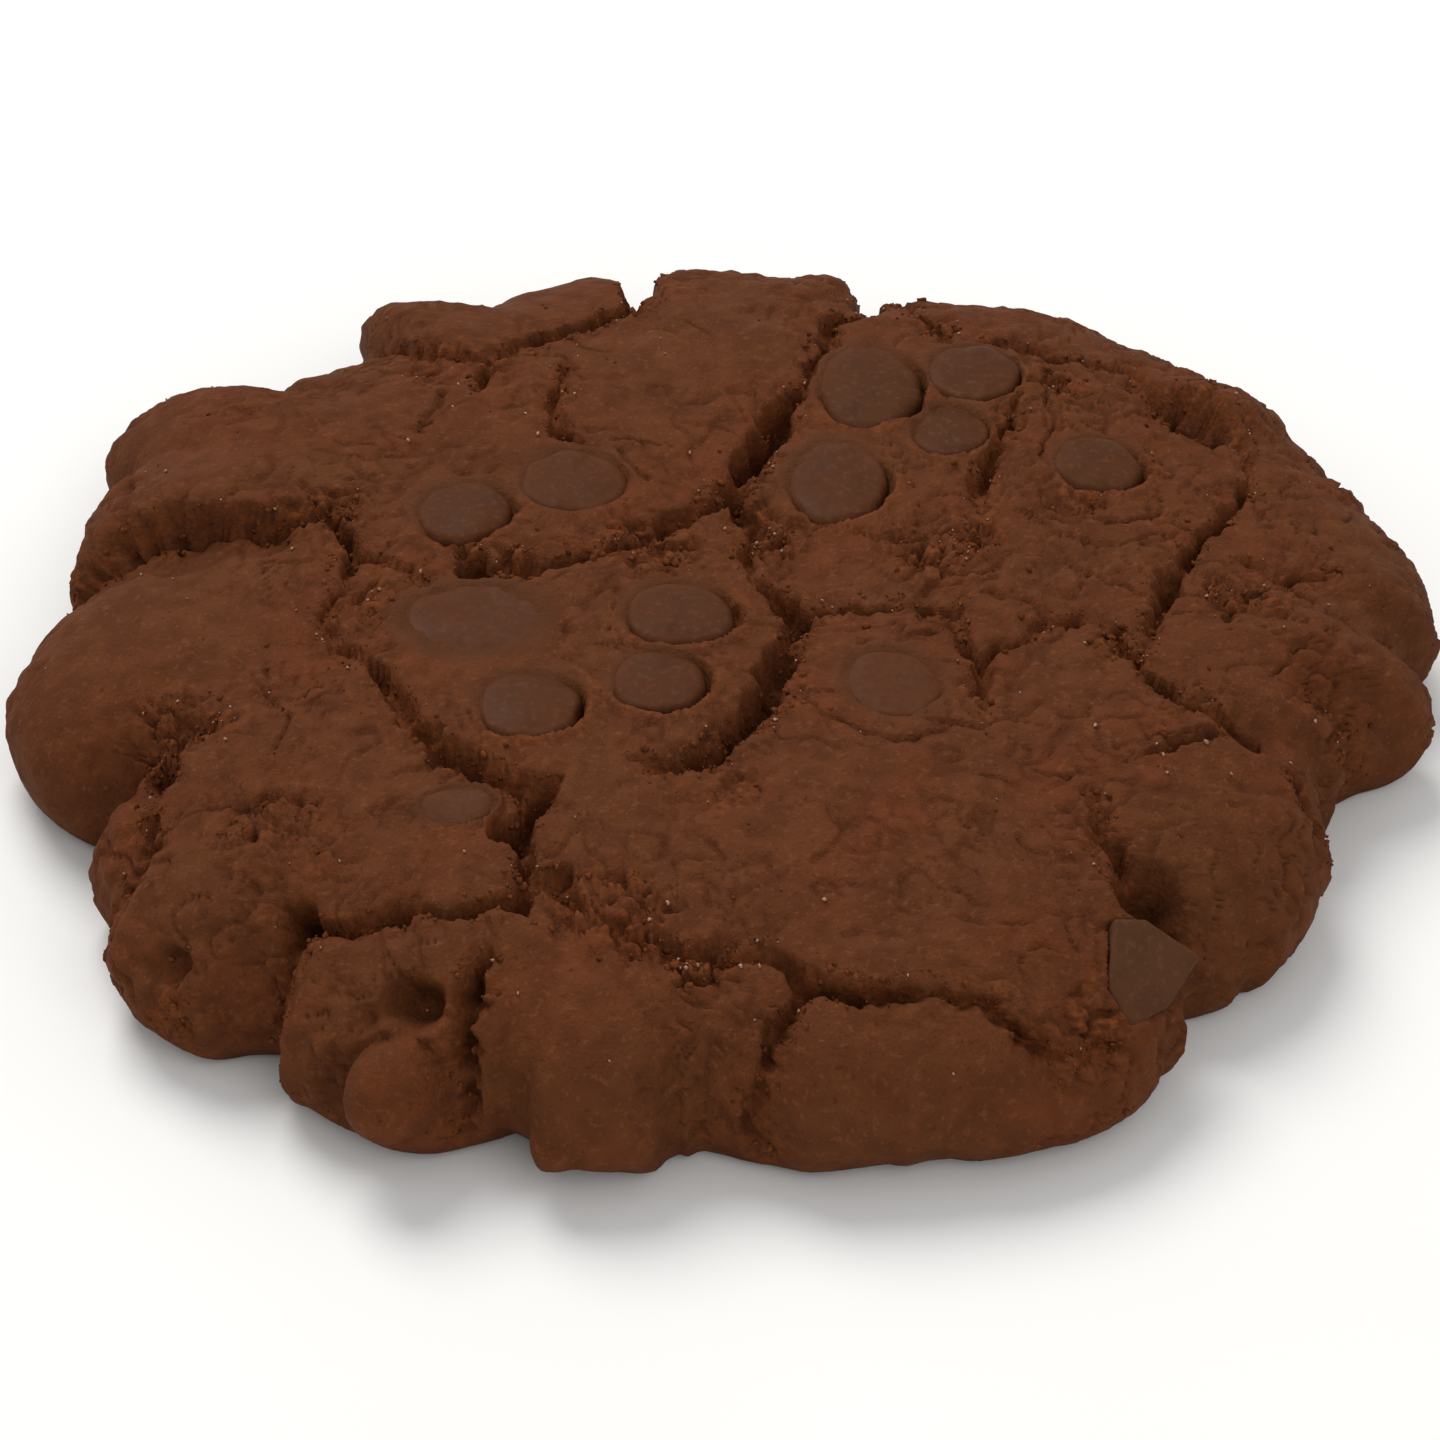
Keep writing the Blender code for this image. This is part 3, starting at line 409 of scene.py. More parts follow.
def layered(points, layers, start=0.0):
    """A start with noises added, each layer of them given as its height, length and seed."""
    for height, length, seed in layers:
        start = start + height * fine_noise(points, length, seed)
    return start


def rough_noise(points, length, seed, octaves=3, gain=0.5):
    total, size, reach = np.zeros(len(points)), 1.0, 0.0
    for octave in range(octaves):
        total += size * fine_noise(points, length * 0.5 ** octave, seed + 31 * octave)
        reach += size
        size *= gain
    return total / reach


def crumb_cells(points, length, seed):
    """Random cells of about this length: 0 on their walls to 1 inside, and each one's level."""
    spot = points / length + seed * 3.1
    cell = np.floor(spot).astype(int)
    first = second = np.full(len(points), 9.0)
    level = np.zeros(len(points))
    for step in np.ndindex(3, 3, 3):
        near = cell + np.array(step) - 1
        x, y, z = (near & 255).T
        code = MIXED[MIXED[MIXED[x] + y] + z]
        centre = near + 0.5 + 0.45 * GRADIENTS[code]
        distance = np.linalg.norm(spot - centre, axis=1)
        second = np.minimum(second, np.maximum(first, distance))
        level = np.where(distance < first, code / 127.5 - 1.0, level)
        first = np.minimum(first, distance)
    return smooth_step((second - first) / CRUMB_GAP), level


def lobed_radius(bearing):
    radius = np.full_like(bearing, RIM_FLOOR)
    for middle, half_width, reach in RIM_LOBES:
        away = (np.degrees(bearing) - middle + 180.0) % 360.0 - 180.0
        lobe = reach - LOBE_DROP * np.abs(away / half_width) ** LOBE_POWER
        radius = LOBE_BLEND * np.logaddexp(radius / LOBE_BLEND, lobe / LOBE_BLEND)
    for middle, half_width, depth in RIM_CUTS:
        away = (np.degrees(bearing) - middle + 180.0) % 360.0 - 180.0
        radius -= depth * np.exp(-(away / half_width) ** 4)
    return radius - LOBE_TRIM


def ellipse_radius(bearing):
    along_x, along_y = PLAN_RADII
    return along_x * along_y / np.hypot(along_y * np.cos(bearing), along_x * np.sin(bearing))


def plan_radius(share, bearing):
    ellipse = ellipse_radius(bearing)
    lobes = (lobed_radius(bearing) - ellipse) * held(share) ** EDGE_POWER
    return share * ellipse + lobes


def dome_height(share):
    fall = held(share) ** DOME_FULLNESS
    return WIDEST_HEIGHT + (THICKNESS - WIDEST_HEIGHT) * np.sqrt(1.0 - fall)


def section(area):
    """Radius share and height along the section, from the top's middle to the base's."""
    shoulder_end = TOP_SHARE + SHOULDER_SHARE
    flank_end = shoulder_end + FLANK_SHARE
    rise = THICKNESS - WIDEST_HEIGHT
    shoulder_lift = (dome_height(SHOULDER_RADIUS) - WIDEST_HEIGHT) / rise

    on_top = SHOULDER_RADIUS * np.sqrt(held(area / TOP_SHARE))
    down = held((area - TOP_SHARE) / SHOULDER_SHARE)
    lift = shoulder_lift * (1.0 - down)
    on_shoulder = (1.0 - lift ** 2) ** (1.0 / DOME_FULLNESS)
    turn = 0.5 * math.pi * held((area - shoulder_end) / FLANK_SHARE)
    on_flank = 1.0 - UNDERCUT * (1.0 - np.cos(turn))
    base_left = held((1.0 - area) / (1.0 - flank_end))
    on_base = (1.0 - UNDERCUT) * np.sqrt(base_left)

    places = [area < TOP_SHARE, area < shoulder_end, area < flank_end]
    share = np.select(places, [on_top, on_shoulder, on_flank], on_base)
    height = np.select(
        places,
        [dome_height(on_top), WIDEST_HEIGHT + rise * lift, WIDEST_HEIGHT * (1.0 - np.sin(turn))],
        0.0,
    )
    return share, height


def smooth_form(directions):
    bearing = np.arctan2(directions[:, 1], directions[:, 0])
    share, height = section(0.5 * (1.0 - directions[:, 2]))
    radius = plan_radius(share, bearing)
    x = PLAN_CENTRE[0] + radius * np.cos(bearing)
    y = PLAN_CENTRE[1] + radius * np.sin(bearing)
    return np.column_stack([x, y, height])


def nearest_on_route(x, y, route):
    distance = np.full_like(x, np.inf)
    half_width, side = np.zeros((2, len(x)))
    for (x0, y0, width0), (x1, y1, width1) in zip(route, route[1:]):
        run_x, run_y = x1 - x0, y1 - y0
        along = ((x - x0) * run_x + (y - y0) * run_y) / (run_x ** 2 + run_y ** 2)
        along = held(along)
        away = np.hypot(x - x0 - along * run_x, y - y0 - along * run_y)
        closer = away < distance
        distance = np.where(closer, away, distance)
        half_width = np.where(closer, 0.5 * (width0 + along * (width1 - width0)), half_width)
        left = np.sign(run_x * (y - y0) - run_y * (x - x0))
        side = np.where(closer, left, side)
    return distance, half_width, side


def chip_share(x, y, chip):
    middle_x, middle_y, half_x, half_y = chip[:4]
    return np.hypot((x - middle_x) / half_x, (y - middle_y) / half_y)


def openness(up, across, chip):
    """How open the groove beside a chip is on this side of its middle."""
    bearing = np.arctan2(up, across) - CHIP_OPEN_SIDE
    return chip[5] * smooth_step(0.45 + 0.75 * np.cos(bearing))


def spot_share(x, y, spot):
    """Distance from the middle of a spot, given as X, Y and radius, as a share of the radius."""
    return np.hypot(x - spot[0], y - spot[1]) / spot[2]


def rounded_relief(x, y, swellings):
    relief = np.zeros_like(x)
    for *spot, height in swellings:
        relief += height * np.sqrt(held(1.0 - spot_share(x, y, spot) ** 2))
    for *spot, depth in HOLLOWS:
        relief -= depth * smooth_step(HOLLOW_STEEPNESS * (1.0 - spot_share(x, y, spot)))
    return relief


def strongest(x, y, patches, steepness):
    """The strongest of these patches at each point, each given as X, Y, radius and strength."""
    most = np.zeros_like(x)
    for *spot, strength in patches:
        near = strength * smooth_step(steepness * (1.0 - spot_share(x, y, spot)))
        most = np.maximum(most, near)
    return most


class Crust:
    """The relief and the tones of the dough at each point of the smooth form."""

    def __init__(self, points):
        self.points = points
        self.x, self.y, self.z = points.T
        self.on_top = smooth_step((self.z - SIDE_HEIGHT) / (TOP_HEIGHT - SIDE_HEIGHT))
        self.above_base = smooth_step(self.z / WIDEST_HEIGHT)
        self.find_cracks()
        self.find_chips()
        self.relief = self.work_out_relief() * self.above_base

    def find_cracks(self):
        """Distance past the nearest crack's edge, depth of what is cut, and the ledges' lift."""
        points = self.points
        wander = WANDER * (SIDE_WANDER + (1.0 - SIDE_WANDER) * self.on_top)
        x = self.x + wander * solid_noise(points, WANDER_LENGTH, 1)
        y = self.y + wander * solid_noise(points, WANDER_LENGTH, 2)
        x = layered(points, EDGE_NOISE_X, x)
        y = layered(points, EDGE_NOISE_Y, y)
        swell = CRACK_WIDEN * np.clip(layered(points, WIDTH_NOISE, 1.0), 0.3, 1.7)
        floor_wave = layered(points, FLOOR_NOISE, 1.0)
        cut, ledge, hairline = np.zeros((3, len(x)))
        past_edge = np.full_like(x, 99.0)
        for rise, route in CRACKS.values():
            distance, half_width, side = nearest_on_route(x, y, route)
            fade = np.exp(-(distance / LEDGE_REACH) ** 2) * smooth_step(half_width * 1.2 - 0.3)
            ledge += 0.5 * rise * side * fade
            half_width = half_width * swell
            floor = np.clip(2.0 * half_width * DEPTH_PER_WIDTH, SHALLOWEST, DEEPEST) * floor_wave
            share = held(1.0 - (distance / half_width) ** CRACK_WALL_POWER)
            cut = np.maximum(cut, floor * share)
            past_edge = np.minimum(past_edge, distance - half_width)
        for route in HAIRLINES + tuple(fold_route(*fold) for fold in FOLDS):
            distance, half_width, _ = nearest_on_route(x, y, route)
            share = held(1.0 - (distance / (half_width * swell)) ** 2)
            hairline = np.maximum(hairline, share)
        self.past_edge, self.cut, self.ledge, self.hairline = past_edge, cut, ledge, hairline
        self.beside = np.exp(-np.clip(past_edge, 0.0, None) / 1.1)

    def find_chips(self):
        """The bed under each chip, the lip round it, and where the dough has its colour."""
        x, y = self.x, self.y
        bed, lip, melted = np.zeros((3, len(x)))
        calm = np.ones_like(x)
        ragged = layered(self.points, SOCKET_NOISE)
        for chip in CHIPS.values():
            share = chip_share(x, y, chip) + ragged
            size = 0.5 * (chip[2] + chip[3])
            open_side = openness(y - chip[1], x - chip[0], chip)
            closed = 1.0 - open_side
            wall = smooth_step(
                (share - SOCKET_SHARE + SOCKET_CLOSING * closed)
                / (SOCKET_WALL + SOCKET_CLOSED_WALL * closed))
            depth = CHIP_BED_DEPTH * open_side + CHIP_FILM_DEPTH * closed
            bed = np.minimum(bed, -depth * (1.0 - wall))
            outside = (share - 1.10) * size - 0.3
            raised = LIP_HEIGHT * open_side * np.exp(-(outside / LIP_WIDTH) ** 2) * wall
            lip = np.maximum(lip, raised)
            calm = np.minimum(calm, smooth_step((share - 1.0) / 0.15))
            melted = np.maximum(melted, closed * (1.0 - smooth_step((share - 0.92) / 0.30)))
        self.bed, self.lip, self.calm, self.melted = bed, lip, calm, melted

    def chunk_bed(self):
        """How far the dough is pressed in under the broken chunk."""
        turn = np.array(turned_to(Vector(CHUNK_FACING)).to_3x3())
        local = (self.points - np.array(CHUNK_MIDDLE)) @ turn
        inside = -outline_distance(local[:, 0], local[:, 1])
        pressed = smooth_step(inside / 0.5 + 0.2) * (np.abs(local[:, 2]) < 4.0)
        return -pressed * np.clip(local[:, 2] + 1.1, 0.0, 5.0)

    def work_out_relief(self):
        points, calm = self.points, self.calm
        uneven = smooth_step(0.5 + 1.2 * fine_noise(points, 3.0, 10))
        broken = strongest(self.x, self.y, BROKEN_PATCHES, BROKEN_STEEPNESS)
        broken = broken * (0.55 + 0.9 * uneven) + 0.5 * self.beside * uneven
        broken = held(broken) * calm
        in_crack = smooth_step(-self.past_edge / 0.35)
        inside = smooth_step(self.cut / 1.2)

        relief = -calm * self.cut * (SIDE_DEPTH + (1.0 - SIDE_DEPTH) * self.on_top)
        relief += calm * self.ledge
        outside = np.clip(self.past_edge, 0.0, None)
        relief -= calm * SHOULDER_DROP * np.exp(-outside / SHOULDER_REACH)
        relief -= calm * HAIRLINE_DEPTH * self.hairline
        self.gaps = np.zeros_like(calm)
        apart = broken * (1.0 - in_crack)
        for length, height, seed in BROKEN_LAYERS:
            cell, level = crumb_cells(points + 0.45 * self.warp(11), length, seed)
            relief += apart * height * (cell - 1.0 + 0.4 * level * cell)
            self.gaps = np.maximum(self.gaps, apart * (1.0 - cell))
        patches = [(*spot, 1.0) for spot in SMOOTH_PATCHES]
        smoothness = strongest(self.x, self.y, patches, SMOOTH_STEEPNESS)
        wrinkle = np.zeros_like(calm)
        for length, width, seed in WRINKLES:
            wavy = fine_noise(points + 0.3 * self.warp(11), length, seed)
            line = smooth_step(1.0 - np.abs(wavy) / width)
            shown = smooth_step(1.4 * fine_noise(points, 5.0, seed + 1) + 0.3)
            wrinkle = np.maximum(wrinkle, line * shown)
        self.wrinkle = wrinkle * calm * (1.0 - smoothness) * (1.0 - in_crack)
        relief -= WRINKLE_DEPTH * self.wrinkle
        relief += (0.22 - 0.12 * smoothness) * rough_noise(points, 4.0, 20)
        relief += 0.15 * (1.0 - smoothness) * calm * fine_noise(points, 1.4, 34)
        self.smoothness = smoothness
        relief += rounded_relief(self.x, self.y, SWELLINGS + SMALL_SWELLINGS)
        relief += BROAD_WAVE * solid_noise(points, BROAD_LENGTH, 4)
        relief += self.bed + self.lip + self.chunk_bed()
        ragged = 0.14 * fine_noise(points, 1.8, 33)
        for *middle, radius, height in FLANK_LUMPS:
            share = np.linalg.norm(points - np.array(middle), axis=1) / radius
            if height < 0.0:
                relief += height * smooth_step(1.5 * (1.0 - share - ragged))
            else:
                relief += height * np.sqrt(held(1.0 - share ** 2))
                crease = np.exp(-((share - 1.06) / 0.13) ** 2)
                relief -= LUMP_MOAT * smooth_step(height - 0.6) * crease
        side = 1.0 - self.on_top
        relief += side * (0.42 * rough_noise(points, 4.6, 26))

        self.broken, self.in_crack, self.inside = broken, in_crack, inside
        return relief

    def warp(self, seed):
        return np.column_stack([fine_noise(self.points, 1.6, seed + axis) for axis in range(3)])

    def roughness(self, points):
        """Crumb and grain along the displaced surface, on steep walls as on the top."""
        crumb = rough_noise(points, 1.0, 50, gain=0.6)
        lumps = 0.5 - np.abs(fine_noise(points, 0.9, 54)) - np.abs(fine_noise(points, 0.5, 55))
        grain = layered(points, GRAIN_NOISE)
        side = 1.0 - self.on_top
        inner = self.inside * self.calm
        plain = self.calm * (1.0 - 0.6 * self.smoothness)
        rough = (0.13 * plain + 0.14 * self.broken + 0.24 * inner + 0.06 * side) * crumb
        rough += (0.10 * self.broken + 0.14 * inner) * lumps
        rough += 0.06 * grain * (0.3 + 0.7 * plain)
        return rough * self.above_base

    def tones(self):
        """What the dough's material reads at each point: painted shade in its recesses, broken
        crust with a painted highlight on the chips' raised lips, hue and base.
        """
        # Painted shade: the dough is darkened in deep cracks, hairlines, gaps between broken
        # crust, wrinkles and hollows
        deep_crack_shade = smooth_step((self.cut - 0.7) / 1.8)
        patches = [(*spot, min(1.0, depth / 1.5)) for *spot, depth in HOLLOWS]
        sunk = strongest(self.x, self.y, patches, HOLLOW_STEEPNESS)
        recess_shade = deep_crack_shade * self.calm + 0.5 * self.hairline + 0.9 * self.gaps + 0.55 * self.wrinkle
        recess_shade += 0.4 * sunk
        recess_shade = held(recess_shade)
        hue = 0.5 + 0.5 * np.clip(rough_noise(self.points, 9.0, 29, octaves=4) * 1.4, -1.0, 1.0)
        base = 1.0 - smooth_step(self.z / 1.5)
        # The lip term is a painted highlight: the chips' raised lips are lightened with the torn
        # crust's colour
        torn_and_lit_lips = self.broken + 0.8 * self.in_crack * self.calm + 0.6 * self.lip / LIP_HEIGHT
        torn_and_lit_lips = held(torn_and_lit_lips)
        return np.column_stack([recess_shade, torn_and_lit_lips, hue, base])


def fold_route(x, y, radius, first, last, width):
    bearings = np.radians(np.linspace(first, last, 9))
    widths = width * np.sin(np.linspace(0.15, math.pi - 0.15, 9))
    return tuple(zip(x + radius * np.cos(bearings), y + radius * np.sin(bearings), widths))


def turned_to(normal):
    return Vector((0.0, 0.0, 1.0)).rotation_difference(normal.normalized()).to_matrix().to_4x4()


def moved(points, frame):
    frame = np.array(frame)
    return points @ frame[:3, :3].T + frame[:3, 3]


def outline_distance(a, b):
    """Distance outside the chunk's convex outline, below 0 inside it."""
    furthest = np.full_like(a, -99.0)
    corners = CHUNK_OUTLINE
    for (x0, y0), (x1, y1) in zip(corners, corners[1:] + corners[:1]):
        run_x, run_y = x1 - x0, y1 - y0
        length = math.hypot(run_x, run_y)
        outward = ((b - y0) * run_x - (a - x0) * run_y) / length
        furthest = np.maximum(furthest, outward)
    return furthest


def displaced(directions):
    """The cracked surface: the smooth form pushed away from a disc inside it by the relief."""
    smooth = smooth_form(directions)
    crust = Crust(smooth)
    bearing = np.arctan2(directions[:, 1], directions[:, 0])
    from_centre = np.hypot(smooth[:, 0] - PLAN_CENTRE[0], smooth[:, 1] - PLAN_CENTRE[1])
    outward = np.clip(from_centre - CORE_SHARE * ellipse_radius(bearing), 0.0, None)
    upward = smooth[:, 2] - CORE_HEIGHT
    reach = np.hypot(outward, upward) + 1e-9
    away = np.column_stack([outward * np.cos(bearing), outward * np.sin(bearing), upward])
    relief = np.maximum(crust.relief, -CORE_COVER * reach)
    points = smooth + away * (relief / reach)[:, None]
    inner = 1.0 - smooth_step((from_centre / ellipse_radius(bearing) - 0.80) / 0.08)
    pores = smooth_step(2.2 * rough_noise(smooth, 2.6, 62) - 0.25)
    points[:, 2] += BASE_PIT_DEPTH * pores * inner * (smooth[:, 2] < 0.01)
    return points, crust


def mesh_rings():
    """How far down from the top each ring lies, as an angle, and its number of points."""
    polar = np.linspace(0.0, math.pi, 4001)
    share, height = section(0.5 * (1.0 - np.cos(polar)))
    radius = share * sum(PLAN_RADII) / 2.0
    on_base = polar[1:] > math.acos(1.0 - 2.0 * (TOP_SHARE + SHOULDER_SHARE + FLANK_SHARE))
    gap = np.where(on_base, BASE_RING_GAP, RING_GAP)
    run = np.concatenate([[0.0], np.cumsum(np.hypot(np.diff(radius), np.diff(height)) / gap)])
    rings = np.interp(np.arange(1, int(run[-1])) * run[-1] / int(run[-1]), run, polar)
    around = 2.0 * math.pi * np.interp(rings, polar, radius)
    around = around / np.where(rings > polar[1:][on_base][0], 2.0 * SEGMENT_GAP, SEGMENT_GAP)
    counts = np.minimum(RIM_SEGMENTS, 2 ** np.floor(np.log2(np.maximum(around, 8.0))).astype(int))
    return rings, counts


def joined_rings(upper, lower, upper_count, lower_count):
    """Triangles between two rings, one of which may have twice the points of the other."""
    count = min(upper_count, lower_count)
    here = np.arange(count)
    after = (here + 1) % count
    if upper_count == lower_count:
        corners = ((upper + here, lower + here, lower + after),
                   (upper + here, lower + after, upper + after))
    elif upper_count < lower_count:
        low, middle, high = (lower + (2 * here + step) % lower_count for step in range(3))
        corners = ((upper + here, low, middle), (upper + here, middle, upper + after),
                   (upper + after, middle, high))
    else:
        low, middle, high = (upper + (2 * here + step) % upper_count for step in range(3))
        corners = ((low, lower + here, middle), (middle, lower + here, lower + after),
                   (middle, lower + after, high))
    return [np.column_stack(triangle) for triangle in corners]


def ring_mesh(name):
    """A closed mesh of rings, evenly fine over the flattened form, and its points' directions."""
    rings, counts = mesh_rings()
    starts = 1 + np.concatenate([[0], np.cumsum(counts)])
    bottom = starts[-1]
    polar = np.concatenate([[0.0], np.repeat(rings, counts), [math.pi]])
    bearing = np.concatenate(
        [[0.0]] + [np.arange(count) * 2.0 * math.pi / count for count in counts] + [[0.0]])
    first, last = np.arange(counts[0]), np.arange(counts[-1])
    faces = [np.column_stack([0 * first, 1 + first, 1 + (first + 1) % counts[0]])]
    for index in range(len(counts) - 1):
        faces += joined_rings(starts[index], starts[index + 1], counts[index], counts[index + 1])
    faces.append(np.column_stack(
        [starts[-2] + last, 0 * last + bottom, starts[-2] + (last + 1) % counts[-1]]))
    directions = np.column_stack([
        np.sin(polar) * np.cos(bearing), np.sin(polar) * np.sin(bearing), np.cos(polar)])
    mesh = bpy.data.meshes.new(name)
    mesh.from_pydata(directions.tolist(), [], np.concatenate(faces).tolist())
    return mesh, directions


def read_vectors(mesh, key):
    flat = np.empty(len(mesh.vertices) * 3, np.float32)
    mesh.vertices.foreach_get(key, flat)
    return flat.reshape(-1, 3).astype(float)


def store(mesh, name, values):
    """Keeps a value, or a row of four, for each point, for the materials to read."""
    kind, key = ("FLOAT", "value") if values.ndim == 1 else ("FLOAT_COLOR", "color")
    kept = mesh.attributes.new(name, kind, "POINT")
    kept.data.foreach_set(key, values.astype(np.float32).ravel())


def mesh_of(bm, name):
    mesh = bpy.data.meshes.new(name)
    bm.to_mesh(mesh)
    bm.free()
    return mesh


def in_place(points):
    """Points of the plan, in mm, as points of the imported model, in metres."""
    return (points + np.array([*PLAN_SHIFT, 0.0])) * MM


def add_object(name, data):
    added = bpy.data.objects.new(name, data)
    bpy.context.scene.collection.objects.link(added)
    return added


def add_piece(name, mesh, slot, surface, *nodes):
    mesh.materials.clear()
    mesh.materials.append(surface)
    mesh.shade_smooth()
    piece = add_object(name, mesh)
    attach(piece, "root")
    if nodes:
        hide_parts(*nodes)


def thinned(mesh, triangles):
    """The mesh with its faces brought down to about this many, fewest where it is flat."""
    holder = add_object("thinning", mesh)
    thin = holder.modifiers.new("thin", "DECIMATE")
    thin.ratio = min(1.0, triangles / len(mesh.polygons))
    graph = bpy.context.evaluated_depsgraph_get()
    made = bpy.data.meshes.new_from_object(holder.evaluated_get(graph))
    bpy.data.objects.remove(holder)
    return made


def move_to(mesh, points):
    mesh.vertices.foreach_set("co", in_place(points).astype(np.float32).ravel())
    mesh.update()


def dough_piece(surface):
    mesh, directions = ring_mesh("baked_dough")
    points, crust = displaced(directions)
    move_to(mesh, points)
    points = points + read_vectors(mesh, "normal") * crust.roughness(points)[:, None]
    move_to(mesh, points)
    store(mesh, "tone", crust.tones())
    store(mesh, "melted", crust.melted)
    normals = read_vectors(mesh, "normal")
    made = thinned(mesh, DOUGH_TRIANGLES)
    made.name = "baked_dough"
    add_piece("baked_dough", made, "dough", surface, "cookie")
    return points, normals, crust


def crust_height(x, y):
    """Height of the crust without its cracks and crumb."""
    bearing = math.atan2(y - PLAN_CENTRE[1], x - PLAN_CENTRE[0])
    shares = np.linspace(0.0, 1.0, 400)
    radii = plan_radius(shares, np.full_like(shares, bearing))
    share = np.interp(math.hypot(x - PLAN_CENTRE[0], y - PLAN_CENTRE[1]), radii, shares)
    smooth = np.array([[x, y, dome_height(share)]])
    broad = BROAD_WAVE * solid_noise(smooth, BROAD_LENGTH, 4)
    rounded = rounded_relief(smooth[:, 0], smooth[:, 1], SWELLINGS)
    return float(smooth[0, 2] + broad[0] + rounded[0])


def crust_frame(x, y):
    step = 0.5
    here, right, back = (
        crust_height(x + across, y + along)
        for across, along in ((0.0, 0.0), (step, 0.0), (0.0, step))
    )
    normal = Vector((here - right, here - back, step))
    return Matrix.Translation((x, y, here)) @ turned_to(normal)


def chip_piece(name, chip, surface):
    """A chip that has slumped in the oven: a thin disc with a soft edge and an uneven face."""
    x, y, half_x, half_y, proud, _, film_share = chip
    bm = bmesh.new()
    bmesh.ops.create_uvsphere(
        bm, u_segments=CHIP_SEGMENTS, v_segments=CHIP_RINGS, radius=1.0)
    mesh = mesh_of(bm, "baked_" + name)
    points = read_vectors(mesh, "co")
    across = np.hypot(points[:, 0], points[:, 1])
    widened = across ** CHIP_SQUARENESS / np.maximum(across, 1e-6)
    points[:, 0] *= widened * half_x
    points[:, 1] *= widened * half_y
    points[:, 2] *= CHIP_HALF_THICKNESS
    place = points + np.array([x, y, 0.0])
    outline = 1.0 + 0.09 * fine_noise(place * np.array([1.0, 1.0, 0.0]), 2.2, 41)
    points[:, :2] *= outline[:, None]
    share = np.hypot(points[:, 0] / half_x, points[:, 1] / half_y)
    closed = 1.0 - openness(points[:, 1], points[:, 0], chip)
    edge = smooth_step((share - 0.60 + 0.14 * fine_noise(place, 1.6, 46)) / 0.36)
    film = held(film_share + closed * edge)
    face = smooth_step(points[:, 2] / CHIP_HALF_THICKNESS)
    away = points[:, 0] * math.cos(CHIP_OPEN_SIDE) + points[:, 1] * math.sin(CHIP_OPEN_SIDE)
    points[:, 2] += face * (
        layered(place, CHIP_FACE_NOISE)
        - 0.05 * np.exp(-((share - 0.72) / 0.12) ** 2) + 0.05 * (1.0 - share)
    ) - CHIP_TILT * away
    sunk = Matrix.Translation((0.0, 0.0, proud - CHIP_HALF_THICKNESS))
    move_to(mesh, moved(points, crust_frame(x, y) @ sunk))
    store(mesh, "film", film)
    add_piece("baked_" + name, mesh, "chocolate", surface, name)


def chunk_piece(surface):
    """The broken chunk: a slab with worn edges and a slightly uneven snapped face."""
    bm = bmesh.new()
    top = [bm.verts.new((x, y, 0.0)) for x, y in CHUNK_OUTLINE]
    face = bm.faces.new(reversed(top))
    lower = bmesh.ops.extrude_face_region(bm, geom=[face])["geom"]
    for vertex in lower:
        if isinstance(vertex, bmesh.types.BMVert):
            vertex.co.z -= CHUNK_THICKNESS
            vertex.co.xy = vertex.co.xy * 0.75
    bmesh.ops.recalc_face_normals(bm, faces=bm.faces)
    bmesh.ops.bevel(
        bm, geom=bm.edges[:], offset=CHUNK_BEVEL, offset_type="OFFSET", segments=3, profile=0.5,
        affect="EDGES")
    bmesh.ops.triangulate(bm, faces=bm.faces)
    for _ in range(3):
        long = [edge for edge in bm.edges if edge.calc_length() > 0.4]
        bmesh.ops.subdivide_edges(bm, edges=long, cuts=1)
        bmesh.ops.triangulate(bm, faces=bm.faces)
    mesh = mesh_of(bm, "baked_chunk")
    points = read_vectors(mesh, "co")
    points += np.column_stack([
        0.08 * rough_noise(points, 1.7, 44 + axis) for axis in range(3)])
    frame = Matrix.Translation(CHUNK_MIDDLE) @ turned_to(Vector(CHUNK_FACING))
    move_to(mesh, moved(points, frame))
    add_piece("baked_chunk", mesh, "chocolate", surface, "chunk")


def grain_shape():
    bm = bmesh.new()
    bmesh.ops.create_icosphere(bm, subdivisions=1, radius=1.0)
    corners = np.array([vertex.co[:] for vertex in bm.verts])
    faces = np.array([[vertex.index for vertex in face.verts] for face in bm.faces])
    bm.free()
    return corners, faces


def grains_piece(name, places, sizes, paleness, surface, draw):
    """Many small uneven grains in one mesh, each with its own turn, shape and paleness."""
    corners, faces = grain_shape()
    turns = np.linalg.qr(draw.normal(size=(len(places), 3, 3)))[0]
    shapes = corners[None] * draw.uniform(0.45, 1.35, size=(len(places), len(corners), 1))
    shapes = shapes * draw.uniform(0.6, 1.0, size=(len(places), 1, 3))
    shapes = np.einsum("nij,nkj->nki", turns, shapes) * sizes[:, None, None]
    points = (shapes + places[:, None]).reshape(-1, 3)
    starts = np.arange(len(places)) * len(corners)
    flips = np.linalg.det(turns) < 0
    faces = np.where(flips[:, None, None], faces[None, :, ::-1], faces[None])
    faces = (faces + starts[:, None, None]).reshape(-1, 3)
    mesh = bpy.data.meshes.new(name)
    mesh.from_pydata(in_place(points).tolist(), [], faces.tolist())
    store(mesh, "pale", np.repeat(paleness, len(corners)))
    mesh.update()
    add_piece(name, mesh, "dough", surface)


def scatter(name, settings, chance, points, normals, surface, draw):
    """Grains at points of the crust, drawn by their chance."""
    count, smallest, spread, rarity, lift = settings
    picked = draw.choice(len(points), count, replace=False, p=chance / chance.sum())
    sizes = smallest + spread * draw.random(count) ** rarity
    places = points[picked] + normals[picked] * sizes[:, None] * lift
    grains_piece(name, places, sizes, draw.random(count), surface, draw)


